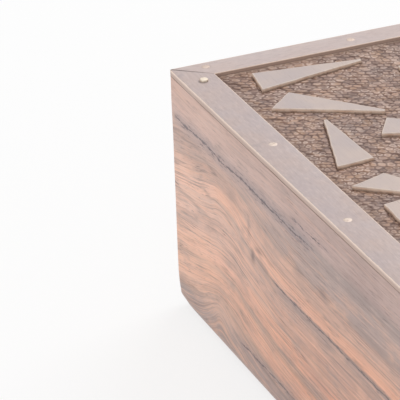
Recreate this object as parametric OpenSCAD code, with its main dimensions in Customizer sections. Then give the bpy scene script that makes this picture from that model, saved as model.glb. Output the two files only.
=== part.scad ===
// Wooden puzzle box: a rosewood case whose carved lid slides out sideways with one mitred top strip.
// A brass pin that looks like the nails beside it works a hidden spring catch, and a loose brass bolt
// in the lid's batten drops into the left wall when the box is tipped to the left.
// Origin: centre of the underside. +X runs to the end the lid leaves by, -Y is the front, +Z is up.

/* [Case] */
// Length of the case, along X
box_l = 282; // [240:1:340]
// Width of the case, along Y
box_w = 178; // [150:1:220]
// Height of the case, to the top of the strips
box_h = 82; // [70:1:110]
// Thickness of the four walls
wall_t = 12; // [12:0.5:15]
// Radius of the rounded outer bottom edges
edge_r = 5; // [2:0.5:6.5]
// Radius of the upright corners
corner_r = 1; // [0.5:0.25:3]

/* [Top strips] */
// Width of the front and back strips
strip_w = 11.5; // [11.5:0.5:13]
// Width of the left and right strips
end_strip_w = 9.5; // [9.5:0.5:13]
// Thickness of the strips
strip_t = 2; // [1.5:0.25:3]

/* [Brass pins] */
// Diameter of the strips' pins and of the release pin
pin_d = 2.7; // [2:0.1:3]
// Length of the pins that hold the fixed strips
pin_len = 9; // [6:0.5:9]
// Length of the pins that hold the lid's own strip
lid_pin_len = 7; // [5:0.5:7.5]
// Distance of the first pin from the end of its strip
pin_inset = 13; // [12:0.5:14]
// Spacing aimed at between pins in a row
pin_pitch = 52; // [35:1:70]

/* [Lid] */
// Thickness of the lid's edge that runs under the strips
tongue_t = 6.2; // [5:0.1:8]
// How far the lid's edge reaches in under the strips
tongue_lap = 2.6; // [2:0.1:2.6]
// Play above the lid's edge
slide_gap = 0.2; // [0.1:0.05:0.5]
// Play beside the lid's edge and between the carved field and the strips
side_gap = 0.3; // [0.15:0.05:0.6]
// Depth of the tooled ground below the top of the strips
carve_depth = 1.4; // [1.2:0.1:1.8]
// Drop from the top of the strips to the top of the wedges
wedge_drop = 0.4; // [0:0.05:0.5]
// Bare ground kept between a wedge and the strips
wedge_margin = 1.5; // [0:0.25:4]

/* [Batten and tilt bolt] */
// Width of the batten under the lid, along X
batten_w = 18; // [18:0.5:24]
// Height of the batten
batten_h = 12; // [11:0.5:16]
// Length of the batten, along Y
batten_l = 120; // [100:1:140]
// Space between the batten and the left wall
batten_gap = 1.2; // [0.5:0.1:2]
// Distance of the batten's screws from the middle of the box
batten_screw_y = 48; // [20:1:48]
// Diameter of the bolt's thick end
bolt_d = 7; // [6:0.1:8]
// Diameter of the bolt's nose
nose_d = 5; // [4:0.1:5.4]
// Length of the bolt's thick end
bolt_body_l = 4.6; // [3.5:0.1:5]
// How far the bolt drops
bolt_travel = 8.2; // [6:0.1:8.4]
// Thickness of the ring that keeps the bolt in its bore
bush_t = 2.4; // [1.5:0.1:2.5]

/* [Release catch] */
// How far the release pin stands up when it isn't pressed
pin_proud = 0.9; // [0.6:0.1:1.2]
// Thickness of the spring's brass strip
leaf_t = 0.6; // [0.4:0.1:0.8]
// Length of the spring
leaf_l = 39; // [30:1:48]
// Width of the plate that holds the spring to the wall
plate_w = 12; // [10:0.5:14]
// Height of that plate
plate_h = 10; // [9:0.5:14]
// How far the catch tooth reaches up into the lid
tooth_bite = 0.7; // [0.4:0.1:0.8]
// Length of the catch tooth, along X
tooth_l = 2.4; // [1.6:0.1:3]

/* [Base] */
// Thickness of the base board
base_t = 8; // [6:0.5:12]
// How far the base board is let into the walls
base_lap = 5; // [4:0.25:5]
// Diameter of the base board's pins
base_pin_d = 2; // [1.6:0.1:2.2]
// Length of the base board's pins
base_pin_len = 18; // [12:0.5:18]

/* [Corner dowels] */
// Diameter of the dowels that join the walls
dowel_d = 6; // [5:0.1:6.4]
// Length of the dowels
dowel_len = 20; // [14:1:24]
// Height of the lower dowel
dowel_low = 24; // [22:1:30]
// Height of the upper dowel
dowel_high = 50; // [40:1:54]

/* [Hidden] */
$fn = 48;
eps = 0.01;                 // lets a cut run past the face it starts at
pin_fit = 0.03;             // play of a driven pin in its hole
run_fit = 0.05;             // play of a moving pin or bolt in its hole
dowel_depth = 8;            // how deep a dowel goes into a long wall

half_l = box_l / 2;
half_w = box_w / 2;
wall_top = box_h - strip_t;
tongue_top = wall_top - slide_gap;
shelf_z = tongue_top - tongue_t;
ground_z = box_h - carve_depth;
wedge_z = box_h - wedge_drop;

// Distances in from the outside of the case
lip_in = strip_w - tongue_lap - side_gap;   // inner face of the lip in front of the lid and behind it
tongue_in = strip_w - tongue_lap;           // the lid's front and back edges
field_in = strip_w + side_gap;              // front and back edges of the carved field
end_lip_in = end_strip_w - tongue_lap - side_gap;
end_tongue_in = end_strip_w - tongue_lap;
end_field_in = end_strip_w + side_gap;
base_in = wall_t - base_lap;                // edge of the base board's rebate
base_play = 0.1;                            // play round the base board

// Places along a row of pins, from one end of a strip to the other
function pin_count(length) = max(1, round((length - 2 * pin_inset) / pin_pitch));
function pin_row(length) =
    let (n = pin_count(length), span = length - 2 * pin_inset)
    [for (i = [0 : n]) -span / 2 + i * span / n];

// The pins were set by eye. How far each lies off its even place: [along the strip, towards the lid]
LONG_DRIFT = [[-0.1, 0.7], [0.8, 0.8], [4.6, -0.9], [-1.2, 0.3], [1.4, -0.5], [0.6, 0.2]];
END_DRIFT = [[-1.9, -1.5], [-3.3, -0.2], [1.2, -0.4], [0.4, -0.7]];
function drifted_row(length, drift) =
    let (even = pin_row(length))
    [for (i = [0 : len(even) - 1]) [even[i], 0] + drift[i % len(drift)]];
function half_turn(row) = [for (p = row) -p];

// Centres of the pins in each strip, in plan. Half a turn of the front and left rows gives the other two.
front_row = [for (p = drifted_row(box_l, LONG_DRIFT)) [p[0], p[1] - half_w + strip_w / 2]];
left_row = [for (p = drifted_row(box_w, END_DRIFT)) [p[1] - half_l + end_strip_w / 2, p[0]]];
back_row = half_turn(front_row);
right_row = half_turn(left_row);
nailed_front_row = [for (i = [1 : len(front_row) - 1]) front_row[i]];

// The release pin is the first pin of the front strip
release_x = front_row[0][0];
release_y = front_row[0][1];
foot_d = pin_d + 2.1;
foot_t = 1.4;
leaf_top = shelf_z - 2.6;
leaf_bottom = leaf_top - leaf_t;
pocket_roof = leaf_top + foot_t + 0.2;
pocket_floor = leaf_bottom - pin_proud - 0.9;
leaf_x = release_x - foot_d / 2 - 0.6;      // free end of the spring
leaf_y = release_y - foot_d / 2 - 0.1;      // outer edge of the spring
plate_x = leaf_x + leaf_l - plate_w;        // start of the plate on the wall
inner_y = -half_w + wall_t;                 // inner face of the front wall
tooth_x = release_x + 0.8;
tooth_y = -half_w + tongue_in + 0.3;
tooth_w = 2.4;
tooth_play = 0.7;
tooth_lead = 0.4;                           // how far below the lid the tooth's slope starts
tooth_notch = tooth_bite + 0.5;
leaf_play = 0.4;                            // room beside the spring's tongue
tooth_land = 0.6;                           // flat on top of the tooth
catch_screw_z = leaf_top - plate_h / 2;

// Batten and bolt
batten_x = -half_l + wall_t + batten_gap;
bolt_z = shelf_z - batten_h / 2;
bolt_rest = 1.2;                            // how far the nose lies back inside the ring's mouth
bolt_shoulder_x = batten_x + bush_t + bolt_travel + 0.2;
bolt_bore_end = bolt_shoulder_x + bolt_body_l + 0.2;
wall_bore_depth = bolt_travel + 0.2 - bolt_rest - batten_gap;

// Screws: [shank diameter, head diameter, head height, length]
batten_screw = [3, 6, 1.8, 16];
catch_screw = [1.8, 3.4, 0.9, 9];

// The wedges on the left half of the lid, for a field of design_l by design_w:
// [x, y of the blunt end's middle, heading, length, width, slant of the blunt end].
// Half a turn gives the right half.
design_l = 263;
design_w = 155;
WEDGES = [
    [-121, -67.8, 91, 36, 13, -10], [-104.8, -67.2, 50, 33, 12.8, -8], [-74, -47.2, 60, 33, 11.5, -3],
    [-54.9, -65.6, 171.5, 31.5, 12, 12], [-42.8, -67.5, 40, 32, 12.4, -22], [-26.7, -66, -10, 30, 9, 17],
    [-120, -13, 92, 27, 11, 4], [-106, -25, 80, 34, 12, 0], [-84, -32, 118, 22, 10, 8],
    [-60, 2, 203, 31, 12, -10], [-44, -36, 106, 30, 11, 6], [-27, -24, 84, 32, 11, -12],
    [-9, -36, 97, 33, 12, 0], [-120, 19, 86, 31, 12, 10], [-92, 28, 98, 28, 12, -8],
    [-80, 20, 20, 34, 12, 14], [-124, 67, -2, 30, 12, -6], [-72, 68, -62, 33, 12, 9],
    [-40, 36, 25, 30, 11, -14], [-38, 22, -16, 30, 11, 5], [-14, 70, 188, 33, 11, 12],
    [-14, 38, -72, 28, 11, -7],
];

// Centres of the pins in the base board
base_pin_in = base_in + base_lap / 2;
base_row = concat(
    [for (x = pin_row(box_l), s = [-1, 1]) [x, s * (half_w - base_pin_in)]],
    [for (i = [1 : pin_count(box_w) - 1], s = [-1, 1])
        [s * (half_l - base_pin_in), pin_row(box_w)[i]]]);

module block(x0, x1, y0, y1, z0, z1)
    translate([x0, y0, z0]) cube([x1 - x0, y1 - y0, z1 - z0]);

module rounded_rectangle(length, width, radius) {
    square([length - 2 * radius, width], center = true);
    square([length, width - 2 * radius], center = true);
    for (x = [-1, 1], y = [-1, 1])
        translate([x * (length / 2 - radius), y * (width / 2 - radius)]) circle(radius);
}

// The outside of the case, with its upright corners and its bottom edges rounded
module case_outside() {
    intersection() {
        linear_extrude(box_h) rounded_rectangle(box_l, box_w, corner_r);
        translate([0, half_w + 1, box_h]) rotate([90, 0, 0])
            linear_extrude(box_w + 2) rounded_rectangle(box_l, 2 * box_h, edge_r);
        translate([-half_l - 1, 0, box_h]) rotate([90, 0, 90])
            linear_extrude(box_l + 2) rounded_rectangle(box_w, 2 * box_h, edge_r);
    }
}

// A round piece or hole for each centre in a row, from z0 up to z1
module round_row(row, diameter, z0, z1)
    for (p = row) translate([p[0], p[1], z0]) cylinder(d = diameter, h = z1 - z0);

// A countersunk screw along +Z with its head's face at z = 0; grow makes its hole
module countersunk_screw(size, grow = 0) {
    cylinder(d1 = size[1] + 2 * grow, d2 = size[0] + 2 * grow, h = size[2]);
    cylinder(d = size[0] + 2 * grow, h = size[3] + grow);
}

// Everything that is cut out of the top of the walls: the lid's way, and the pins of the fixed strips
module lid_way()
    block(-half_l + end_lip_in, half_l + 1, -half_w + lip_in, half_w - lip_in, shelf_z, box_h);

module fixed_pin_holes()
    round_row(concat(nailed_front_row, back_row, left_row), pin_d + 2 * pin_fit,
              box_h - pin_len - pin_fit, box_h + 1);

module base_rebate()
    block(-half_l + base_in, half_l - base_in, -half_w + base_in, half_w - base_in, -1, base_t);

module base_pin_holes()
    round_row(base_row, base_pin_d + 2 * pin_fit, -1, base_pin_len + pin_fit);

// The two dowels of one corner; sx and sy say which corner, and grow makes their holes
module corner_dowels(sx, sy, grow = 0)
    for (z = [dowel_low, dowel_high])
        translate([sx * (half_l - wall_t / 2), sy * (half_w - wall_t + dowel_depth + grow), z])
            rotate([sy * 90, 0, 0]) cylinder(d = dowel_d + 2 * grow, h = dowel_len + 2 * grow);

module all_dowel_holes()
    for (sx = [-1, 1], sy = [-1, 1]) corner_dowels(sx, sy, pin_fit);

// Room for the spring: a slot milled into the front wall, a seat for its plate and a window for its tooth
module catch_pocket() {
    block(leaf_x - 1.5, plate_x - 1, leaf_y - 0.6, inner_y + eps, pocket_floor, pocket_roof);
    block(plate_x - 1 - eps, plate_x + plate_w + 0.5, leaf_y - 0.6, inner_y + eps, leaf_bottom, pocket_roof);
    block(plate_x - 0.2, plate_x + plate_w + 0.2, inner_y - leaf_t, inner_y + eps,
          leaf_top - plate_h - 0.2, leaf_bottom + eps);
    block(tooth_x - tooth_play, tooth_x + tooth_l + tooth_play, -half_w + lip_in, inner_y + eps,
          pocket_roof - eps, shelf_z + eps);
}

module catch_screw_places()
    for (x = [plate_x + plate_w / 4, plate_x + plate_w * 3 / 4])
        translate([x, inner_y, catch_screw_z]) rotate([90, 0, 0]) children();

module front_wall() {
    color("sienna") difference() {
        intersection() {
            block(-half_l, half_l, -half_w, inner_y, 0, wall_top);
            case_outside();
        }
        lid_way();
        fixed_pin_holes();
        base_rebate();
        base_pin_holes();
        all_dowel_holes();
        catch_pocket();
        catch_screw_places() countersunk_screw(catch_screw, pin_fit);
        translate([release_x, release_y, pocket_roof - eps])
            cylinder(d = pin_d + 2 * run_fit, h = box_h);
    }
}

module back_wall() {
    color("sienna") difference() {
        intersection() {
            block(-half_l, half_l, -inner_y, half_w, 0, wall_top);
            case_outside();
        }
        lid_way();
        fixed_pin_holes();
        base_rebate();
        base_pin_holes();
        all_dowel_holes();
    }
}

module end_wall(x0, x1, top) {
    difference() {
        intersection() {
            block(x0, x1, inner_y, -inner_y, 0, top);
            case_outside();
        }
        lid_way();
        fixed_pin_holes();
        base_rebate();
        base_pin_holes();
        all_dowel_holes();
    }
}

module left_wall() {
    color("sienna") difference() {
        end_wall(-half_l, -half_l + wall_t, wall_top);
        translate([-half_l + wall_t - wall_bore_depth, 0, bolt_z]) rotate([0, 90, 0])
            cylinder(d = nose_d + 0.5, h = wall_bore_depth + 1);
    }
}

module right_wall() {
    color("sienna") end_wall(half_l - wall_t, half_l, shelf_z);
}

module base_board() {
    color("saddlebrown") difference() {
        block(-half_l + base_in + base_play, half_l - base_in - base_play,
              -half_w + base_in + base_play, half_w - base_in - base_play, 0, base_t);
        base_pin_holes();
    }
}

module base_pins() {
    color("goldenrod") round_row(base_row, base_pin_d, 0, base_pin_len);
}

module front_left_dowels() {
    color("burlywood") corner_dowels(-1, -1);
}

module front_right_dowels() {
    color("burlywood") corner_dowels(1, -1);
}

module back_left_dowels() {
    color("burlywood") corner_dowels(-1, 1);
}

module back_right_dowels() {
    color("burlywood") corner_dowels(1, 1);
}

// A strip along X on the front edge, mitred at each end to strips of another width
module mitred_strip(length, depth, width, other_width)
    translate([0, -depth / 2, wall_top]) linear_extrude(strip_t)
        polygon([[-length / 2, 0], [length / 2, 0],
                 [length / 2 - other_width, width], [-length / 2 + other_width, width]]);

module long_strip(turn)
    rotate([0, 0, turn]) mitred_strip(box_l, box_w, strip_w, end_strip_w);

module end_strip(turn)
    rotate([0, 0, turn]) mitred_strip(box_w, box_l, end_strip_w, strip_w);

// A strip cut to the outside of the case and drilled for its row of pins
module drilled_strip(row) {
    color("rosybrown") difference() {
        intersection() {
            children();
            case_outside();
        }
        round_row(row, pin_d + 2 * pin_fit, wall_top - 1, box_h + 1);
    }
}

module front_strip() {
    difference() {
        drilled_strip(nailed_front_row) long_strip(0);
        translate([release_x, release_y, wall_top - 1]) cylinder(d = pin_d + 2 * run_fit, h = strip_t + 2);
    }
}

module back_strip() {
    drilled_strip(back_row) long_strip(180);
}

module left_strip() {
    drilled_strip(left_row) end_strip(-90);
}

module right_strip() {
    drilled_strip(right_row) end_strip(90);
}

module front_strip_pins() {
    color("gold") round_row(nailed_front_row, pin_d, box_h - pin_len, box_h);
}

module back_strip_pins() {
    color("gold") round_row(back_row, pin_d, box_h - pin_len, box_h);
}

module left_strip_pins() {
    color("gold") round_row(left_row, pin_d, box_h - pin_len, box_h);
}

module right_strip_pins() {
    color("gold") round_row(right_row, pin_d, box_h - lid_pin_len, box_h);
}

// One raised wedge of the carving: a long flat triangle with a blunt end
module wedge(w) {
    x = w[0] * (box_l - 2 * end_strip_w) / design_l;
    y = w[1] * (box_w - 2 * strip_w) / design_w;
    blunt = w[4] / 2 * [sin(w[5]), -cos(w[5])];
    translate([x, y, ground_z - 1]) rotate([0, 0, w[2]])
        linear_extrude(wedge_z - ground_z + 1) polygon([blunt, [w[3], 0], -blunt]);
}

module carving() {
    edge = field_in + wedge_margin;
    end_edge = end_field_in + wedge_margin;
    intersection() {
        for (turn = [0, 180], w = WEDGES) rotate([0, 0, turn]) wedge(w);
        block(-half_l + end_edge, half_l - end_edge, -half_w + edge, half_w - edge, ground_z - 1, box_h);
    }
}

module batten_screw_places()
    for (y = [-batten_screw_y, batten_screw_y])
        translate([batten_x + batten_w / 2, y, shelf_z - batten_h]) children();

module carved_lid() {
    color("peru") difference() {
        union() {
            block(-half_l + end_tongue_in, half_l, -half_w + tongue_in, half_w - tongue_in,
                  shelf_z, tongue_top);
            block(-half_l + end_field_in, half_l - end_strip_w, -half_w + field_in, half_w - field_in,
                  tongue_top - 1, ground_z);
            block(half_l - end_strip_w - 1, half_l, -half_w + field_in, half_w - field_in,
                  tongue_top - 1, wall_top);
            carving();
        }
        block(tooth_x - tooth_play, tooth_x + tooth_l + tooth_play, -half_w, tooth_y + tooth_w + tooth_play,
              shelf_z - 1, shelf_z + tooth_notch);
        round_row(right_row, pin_d + 2 * pin_fit, box_h - lid_pin_len - pin_fit, box_h + 1);
        batten_screw_places() countersunk_screw(batten_screw, pin_fit);
    }
}

module bolt_axis(x)
    translate([x, 0, bolt_z]) rotate([0, 90, 0]) children();

module lid_batten() {
    color("sienna") difference() {
        block(batten_x, batten_x + batten_w, -batten_l / 2, batten_l / 2, shelf_z - batten_h, shelf_z);
        bolt_axis(batten_x - 1) cylinder(d = bolt_d + 0.2, h = bolt_bore_end - batten_x + 1);
        batten_screw_places() countersunk_screw(batten_screw, pin_fit);
    }
}

module batten_screws() {
    color("goldenrod") batten_screw_places() countersunk_screw(batten_screw);
}

// Slides towards -X, into the left wall, when the box is tipped that way
module tilt_bolt() {
    color("gold") union() {
        bolt_axis(batten_x + bolt_rest) cylinder(d = nose_d, h = bolt_shoulder_x - batten_x - bolt_rest + 1);
        bolt_axis(bolt_shoulder_x) cylinder(d = bolt_d, h = bolt_body_l);
    }
}

module bolt_ring() {
    color("goldenrod") bolt_axis(batten_x) difference() {
        cylinder(d = bolt_d + 0.2 - 2 * pin_fit, h = bush_t);
        translate([0, 0, -1]) cylinder(d = nose_d + 2 * run_fit, h = bush_t + 2);
    }
}

// Looks like the other pins; its foot rests on the spring, which holds it up
module release_pin() {
    color("gold") translate([release_x, release_y, leaf_top]) union() {
        cylinder(d = foot_d, h = foot_t);
        cylinder(d = pin_d, h = box_h + pin_proud - leaf_top);
    }
}

// A brass leaf on edge plate and tongue; the tooth's slope lets the lid push it down when it closes
module catch_spring() {
    color("darkgoldenrod") difference() {
        union() {
            block(leaf_x, leaf_x + leaf_l, leaf_y, inner_y - leaf_play, leaf_bottom, leaf_top);
            block(plate_x, plate_x + plate_w, inner_y - leaf_t, inner_y, leaf_top - plate_h, leaf_top);
            translate([tooth_x, tooth_y + tooth_w, leaf_top - leaf_t / 2]) rotate([90, 0, 0])
                linear_extrude(tooth_w)
                    polygon([[0, 0], [tooth_l, 0],
                             [tooth_l, shelf_z - tooth_lead - leaf_top + leaf_t / 2],
                             [tooth_land, shelf_z + tooth_bite - leaf_top + leaf_t / 2],
                             [0, shelf_z + tooth_bite - leaf_top + leaf_t / 2]]);
        }
        catch_screw_places() countersunk_screw(catch_screw, pin_fit);
    }
}

module catch_screws() {
    color("goldenrod") catch_screw_places() countersunk_screw(catch_screw);
}

front_wall();
back_wall();
left_wall();
right_wall();
base_board();
base_pins();
front_left_dowels();
front_right_dowels();
back_left_dowels();
back_right_dowels();
front_strip();
back_strip();
left_strip();
right_strip();
front_strip_pins();
back_strip_pins();
left_strip_pins();
right_strip_pins();
carved_lid();
lid_batten();
batten_screws();
tilt_bolt();
bolt_ring();
release_pin();
catch_spring();
catch_screws();
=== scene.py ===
"""Dresses the wooden puzzle box: rosewood case, mitred strips, punched and carved lid, brass nails and catch."""

import logging
import math
from collections.abc import Callable, Iterable, Sequence
from dataclasses import dataclass, field, fields
from enum import Enum

import bmesh
import bpy
import numpy as np
from mathutils import Matrix, Vector, noise


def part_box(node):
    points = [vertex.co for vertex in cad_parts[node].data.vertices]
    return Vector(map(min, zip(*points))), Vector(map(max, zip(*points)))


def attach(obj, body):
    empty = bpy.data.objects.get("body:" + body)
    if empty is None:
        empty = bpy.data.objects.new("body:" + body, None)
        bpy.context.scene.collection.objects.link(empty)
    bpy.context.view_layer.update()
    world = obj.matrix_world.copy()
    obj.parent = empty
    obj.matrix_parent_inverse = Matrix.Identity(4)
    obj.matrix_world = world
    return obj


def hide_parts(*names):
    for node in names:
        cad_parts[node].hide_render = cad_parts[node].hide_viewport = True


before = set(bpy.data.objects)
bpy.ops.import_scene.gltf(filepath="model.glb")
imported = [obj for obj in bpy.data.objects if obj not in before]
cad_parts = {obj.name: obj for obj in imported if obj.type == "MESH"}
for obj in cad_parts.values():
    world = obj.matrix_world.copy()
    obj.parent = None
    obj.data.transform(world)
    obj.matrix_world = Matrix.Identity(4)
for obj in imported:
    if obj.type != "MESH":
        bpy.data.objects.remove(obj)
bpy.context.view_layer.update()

log = logging.getLogger("puzzle_box")

MM = 0.001

Socket = bpy.types.NodeSocket
Triple = tuple[float, float, float]
Shade = tuple[int, int, int]
ORIGIN: Triple = (0.0, 0.0, 0.0)
WHITE = (1.0, 1.0, 1.0, 1.0)


def paint(shade: Shade) -> tuple[float, float, float, float]:
    """Turns a colour as it is seen, each part from 0 to 255, into the linear light that a shader mixes."""
    seen = [part / 255 for part in shade]
    return (*(s / 12.92 if s <= 0.04045 else ((s + 0.055) / 1.055) ** 2.4 for s in seen), 1.0)


# --------------------------------------------------------------------------------------------------------------
# Sizes, read from the frame
# --------------------------------------------------------------------------------------------------------------


@dataclass(frozen=True)
class BoxSizes:
    """The box's main planes, worked out from the frame's nodes, in metres."""

    half_length: float
    half_width: float
    top: float
    wall_top: float
    long_strip: float
    end_strip: float
    wedge_top: float
    wall: float
    carve: float = 1.0 * MM
    field_gap: float = 0.3 * MM

    @classmethod
    def from_frame(cls) -> "BoxSizes":
        """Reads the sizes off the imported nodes.

        Returns:
            The sizes, in metres.
        """
        long_low, long_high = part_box("front_strip")
        end_low, end_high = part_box("left_strip")
        wall_low, wall_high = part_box("front_wall")
        return cls(half_length=wall_high.x, half_width=-wall_low.y, top=end_high.z, wall_top=end_low.z,
                   long_strip=long_high.y - long_low.y, end_strip=end_high.x - end_low.x,
                   wedge_top=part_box("carved_lid")[1].z, wall=wall_high.y - wall_low.y)

    def in_mm(self) -> "BoxSizes":
        """The same sizes in millimetres, for the finishes."""
        return BoxSizes(*(getattr(self, size.name) / MM for size in fields(self)))

    def inward(self, point: Vector) -> tuple[float, float]:
        """How far a point lies inside the box's end and inside its long side."""
        return self.half_length - abs(point.x), self.half_width - abs(point.y)

    @property
    def ground(self) -> float:
        """Height of the lid's tooled ground."""
        return self.wedge_top - self.carve

    @property
    def inner(self) -> tuple[float, float]:
        """Half the length and half the width of the opening inside the strips."""
        return self.half_length - self.end_strip, self.half_width - self.long_strip

    @property
    def field_low(self) -> Vector:
        """Front left corner of the lid's carved field."""
        return Vector((self.field_gap - self.inner[0], self.field_gap - self.inner[1], self.ground))

    @property
    def field_high(self) -> Vector:
        """Back right corner of the lid's carved field."""
        return Vector((self.inner[0], self.inner[1] - self.field_gap, self.ground))


SIZES = BoxSizes.from_frame()
BOX = SIZES.in_mm()
PIN_PLACE = tuple((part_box("release_pin")[0][i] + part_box("release_pin")[1][i]) / 2 / MM for i in range(2))


# --------------------------------------------------------------------------------------------------------------
# Shader wiring
# --------------------------------------------------------------------------------------------------------------


class Run(Enum):
    """Which way the grain runs: the axes along it, across the board's face, and through the board."""

    X_UPRIGHT = (0, 2, 1)
    Y_UPRIGHT = (1, 2, 0)
    X_FLAT = (0, 1, 2)
    Y_FLAT = (1, 0, 2)


class Reading:
    """A number or colour that a shader works out at each point; a sum on it adds the nodes that do the sum."""

    kind = "Math"

    def __init__(self, wire: "Wiring", socket: Socket) -> None:
        """Wraps an output socket."""
        self.wire, self.socket = wire, socket

    def step(self, operation: str, *others: "Amount") -> "Reading":
        """One step of arithmetic on this and the others."""
        return type(self)(self.wire, self.wire.node(self.kind, self, *others, operation=operation).outputs[0])

    def __add__(self, other: "Amount") -> "Reading":
        """This plus the other."""
        return self.step("ADD", other)

    def __sub__(self, other: "Amount") -> "Reading":
        """This less the other."""
        return self.step("SUBTRACT", other)

    def __rsub__(self, other: float) -> "Reading":
        """The other less this."""
        return self * -1.0 + other

    def __mul__(self, other: "Amount") -> "Reading":
        """This times the other."""
        return self.step("MULTIPLY", other)

    def __truediv__(self, other: "Amount") -> "Reading":
        """This divided by the other."""
        return self.step("DIVIDE", other)

    def __abs__(self) -> "Reading":
        """This without its sign."""
        return self.step("ABSOLUTE")

    def least(self, other: "Amount") -> "Reading":
        """The lesser of this and the other."""
        return self.step("MINIMUM", other)

    def most(self, other: "Amount") -> "Reading":
        """The greater of this and the other."""
        return self.step("MAXIMUM", other)

    def clamped(self) -> "Reading":
        """The same number, held between 0 and 1."""
        self.socket.node.use_clamp = True
        return self

    def span(self, low: float, high: float, start: float = 0.0, end: float = 1.0) -> "Reading":
        """Smoothly turns a number between low and high into one between start and end."""
        made = self.wire.node("MapRange", self, low, high, start, end, interpolation_type="SMOOTHSTEP", clamp=True)
        return Reading(self.wire, made.outputs[0])

    __radd__, __rmul__ = __add__, __mul__


class Place(Reading):
    """A point or direction that a shader works out."""

    kind = "VectorMath"

    def parts(self) -> tuple[Reading, ...]:
        """Its x, y and z."""
        return tuple(Reading(self.wire, out) for out in self.wire.node("SeparateXYZ", self).outputs)

    def noise(self, scale: float = 1.0, detail: float = 3.0, roughness: float = 0.55) -> Reading:
        """Cloudy noise there, from 0 to 1.

        Args:
            scale: How fine it is.
            detail: How many finer clouds lie in it.
            roughness: How strong those are.

        Returns:
            The noise.
        """
        made = self.wire.node("TexNoise", self)
        self.wire.fill(made.inputs, Scale=scale, Detail=detail, Roughness=roughness)
        return Reading(self.wire, made.outputs[0])


Amount = float | Triple | Reading
Tone = Shade | Reading


class Wiring:
    """Adds shader nodes to one tree and joins them."""

    def __init__(self, tree: bpy.types.NodeTree) -> None:
        """Works on the given tree."""
        self.tree = tree

    def node(self, kind: str, *given: Amount, **settings: object) -> bpy.types.Node:
        """Adds a node.

        Args:
            kind: The node's type, without "ShaderNode".
            *given: Values for its first inputs, in order.
            **settings: Properties to set on it.

        Returns:
            The new node.
        """
        made = self.tree.nodes.new("ShaderNode" + kind)
        for name, value in settings.items():
            setattr(made, name, value)
        for socket, value in zip(made.inputs, given):
            self.feed(socket, value)
        return made

    def feed(self, socket: Socket, value: Amount | Sequence[float]) -> None:
        """Links a socket to a reading, or sets its own value.

        Args:
            socket: The input.
            value: The reading or value.
        """
        if isinstance(value, Reading):
            self.tree.links.new(value.socket, socket)
        else:
            socket.default_value = value

    def fill(self, sockets: bpy.types.NodeInputs, **values: Amount | Sequence[float]) -> None:
        """Feeds inputs by their names, with _ for a space."""
        for name, value in values.items():
            self.feed(sockets[name.replace("_", " ")], value)

    def point(self, x: Amount, y: Amount, z: Amount) -> Place:
        """A place from three readings."""
        return Place(self, self.node("CombineXYZ", x, y, z).outputs[0])

    def attribute(self, name: str) -> Reading:
        """A number stored on the piece's own points."""
        return Reading(self, self.node("Attribute", attribute_name=name).outputs["Fac"])

    def rays(self, *kinds: str) -> Reading:
        """1 where one of the named kinds of ray looks, 0 for every other ray.

        Args:
            *kinds: The names of the kinds, such as "Camera".

        Returns:
            The mask.
        """
        path = self.node("LightPath").outputs
        seen = Reading(self, path[f"Is {kinds[0]} Ray"])
        for kind in kinds[1:]:
            seen = seen.most(Reading(self, path[f"Is {kind} Ray"]))
        return seen

    def blend(self, amount: Amount, first: Tone, second: Tone, how: str = "MIX") -> Reading:
        """Mixes two colours.

        Args:
            amount: How much of the second one, from 0 to 1.
            first: The colour underneath.
            second: The colour laid over it.
            how: The kind of mix, such as "MULTIPLY".

        Returns:
            The mixed colour.
        """
        made = self.node("Mix", amount, data_type="RGBA", blend_type=how, clamp_factor=True)
        for socket, tone in zip((made.inputs[6], made.inputs[7]), (first, second)):
            self.feed(socket, tone if isinstance(tone, Reading) else paint(tone))
        return Reading(self, made.outputs[2])

    def ramp(self, amount: Reading, stops: Sequence[tuple[float, Shade]]) -> Reading:
        """A colour from a row of stops.

        Args:
            amount: The place on the row, from 0 to 1.
            stops: Places from 0 to 1 with their shades, in order.

        Returns:
            The colour.
        """
        made = self.node("ValToRGB", amount)
        line = made.color_ramp.elements
        for place, shade in stops[1:-1]:
            line.new(place).color = paint(shade)
        for end in (0, -1):
            line[end].position, line[end].color = stops[end][0], paint(stops[end][1])
        return Reading(self, made.outputs[0])

    def curve(self, value: Reading, points: Sequence[tuple[float, float]]) -> Reading:
        """A number from a drawn curve.

        Args:
            value: The place along the curve, from 0 to 1.
            points: The points that it runs through, between 0 and 1.

        Returns:
            The curve's height there.
        """
        made = self.node("FloatCurve")
        line = made.mapping.curves[0].points
        line[0].location, line[-1].location = points[0], points[-1]
        for x, y in points[1:-1]:
            line.new(x, y)
        made.mapping.update()
        self.fill(made.inputs, Value=value)
        return Reading(self, made.outputs[0])

    def shared(self, effect: "Effect", **inputs: Amount) -> dict[str, Reading]:
        """Places a shared effect.

        Args:
            effect: The effect.
            **inputs: Values or links for its inputs, with _ for a space.

        Returns:
            Its masks by name.
        """
        made = self.node("Group", node_tree=effect.tree)
        self.fill(made.inputs, **inputs)
        return {out.name: Reading(self, out) for out in made.outputs}


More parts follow.
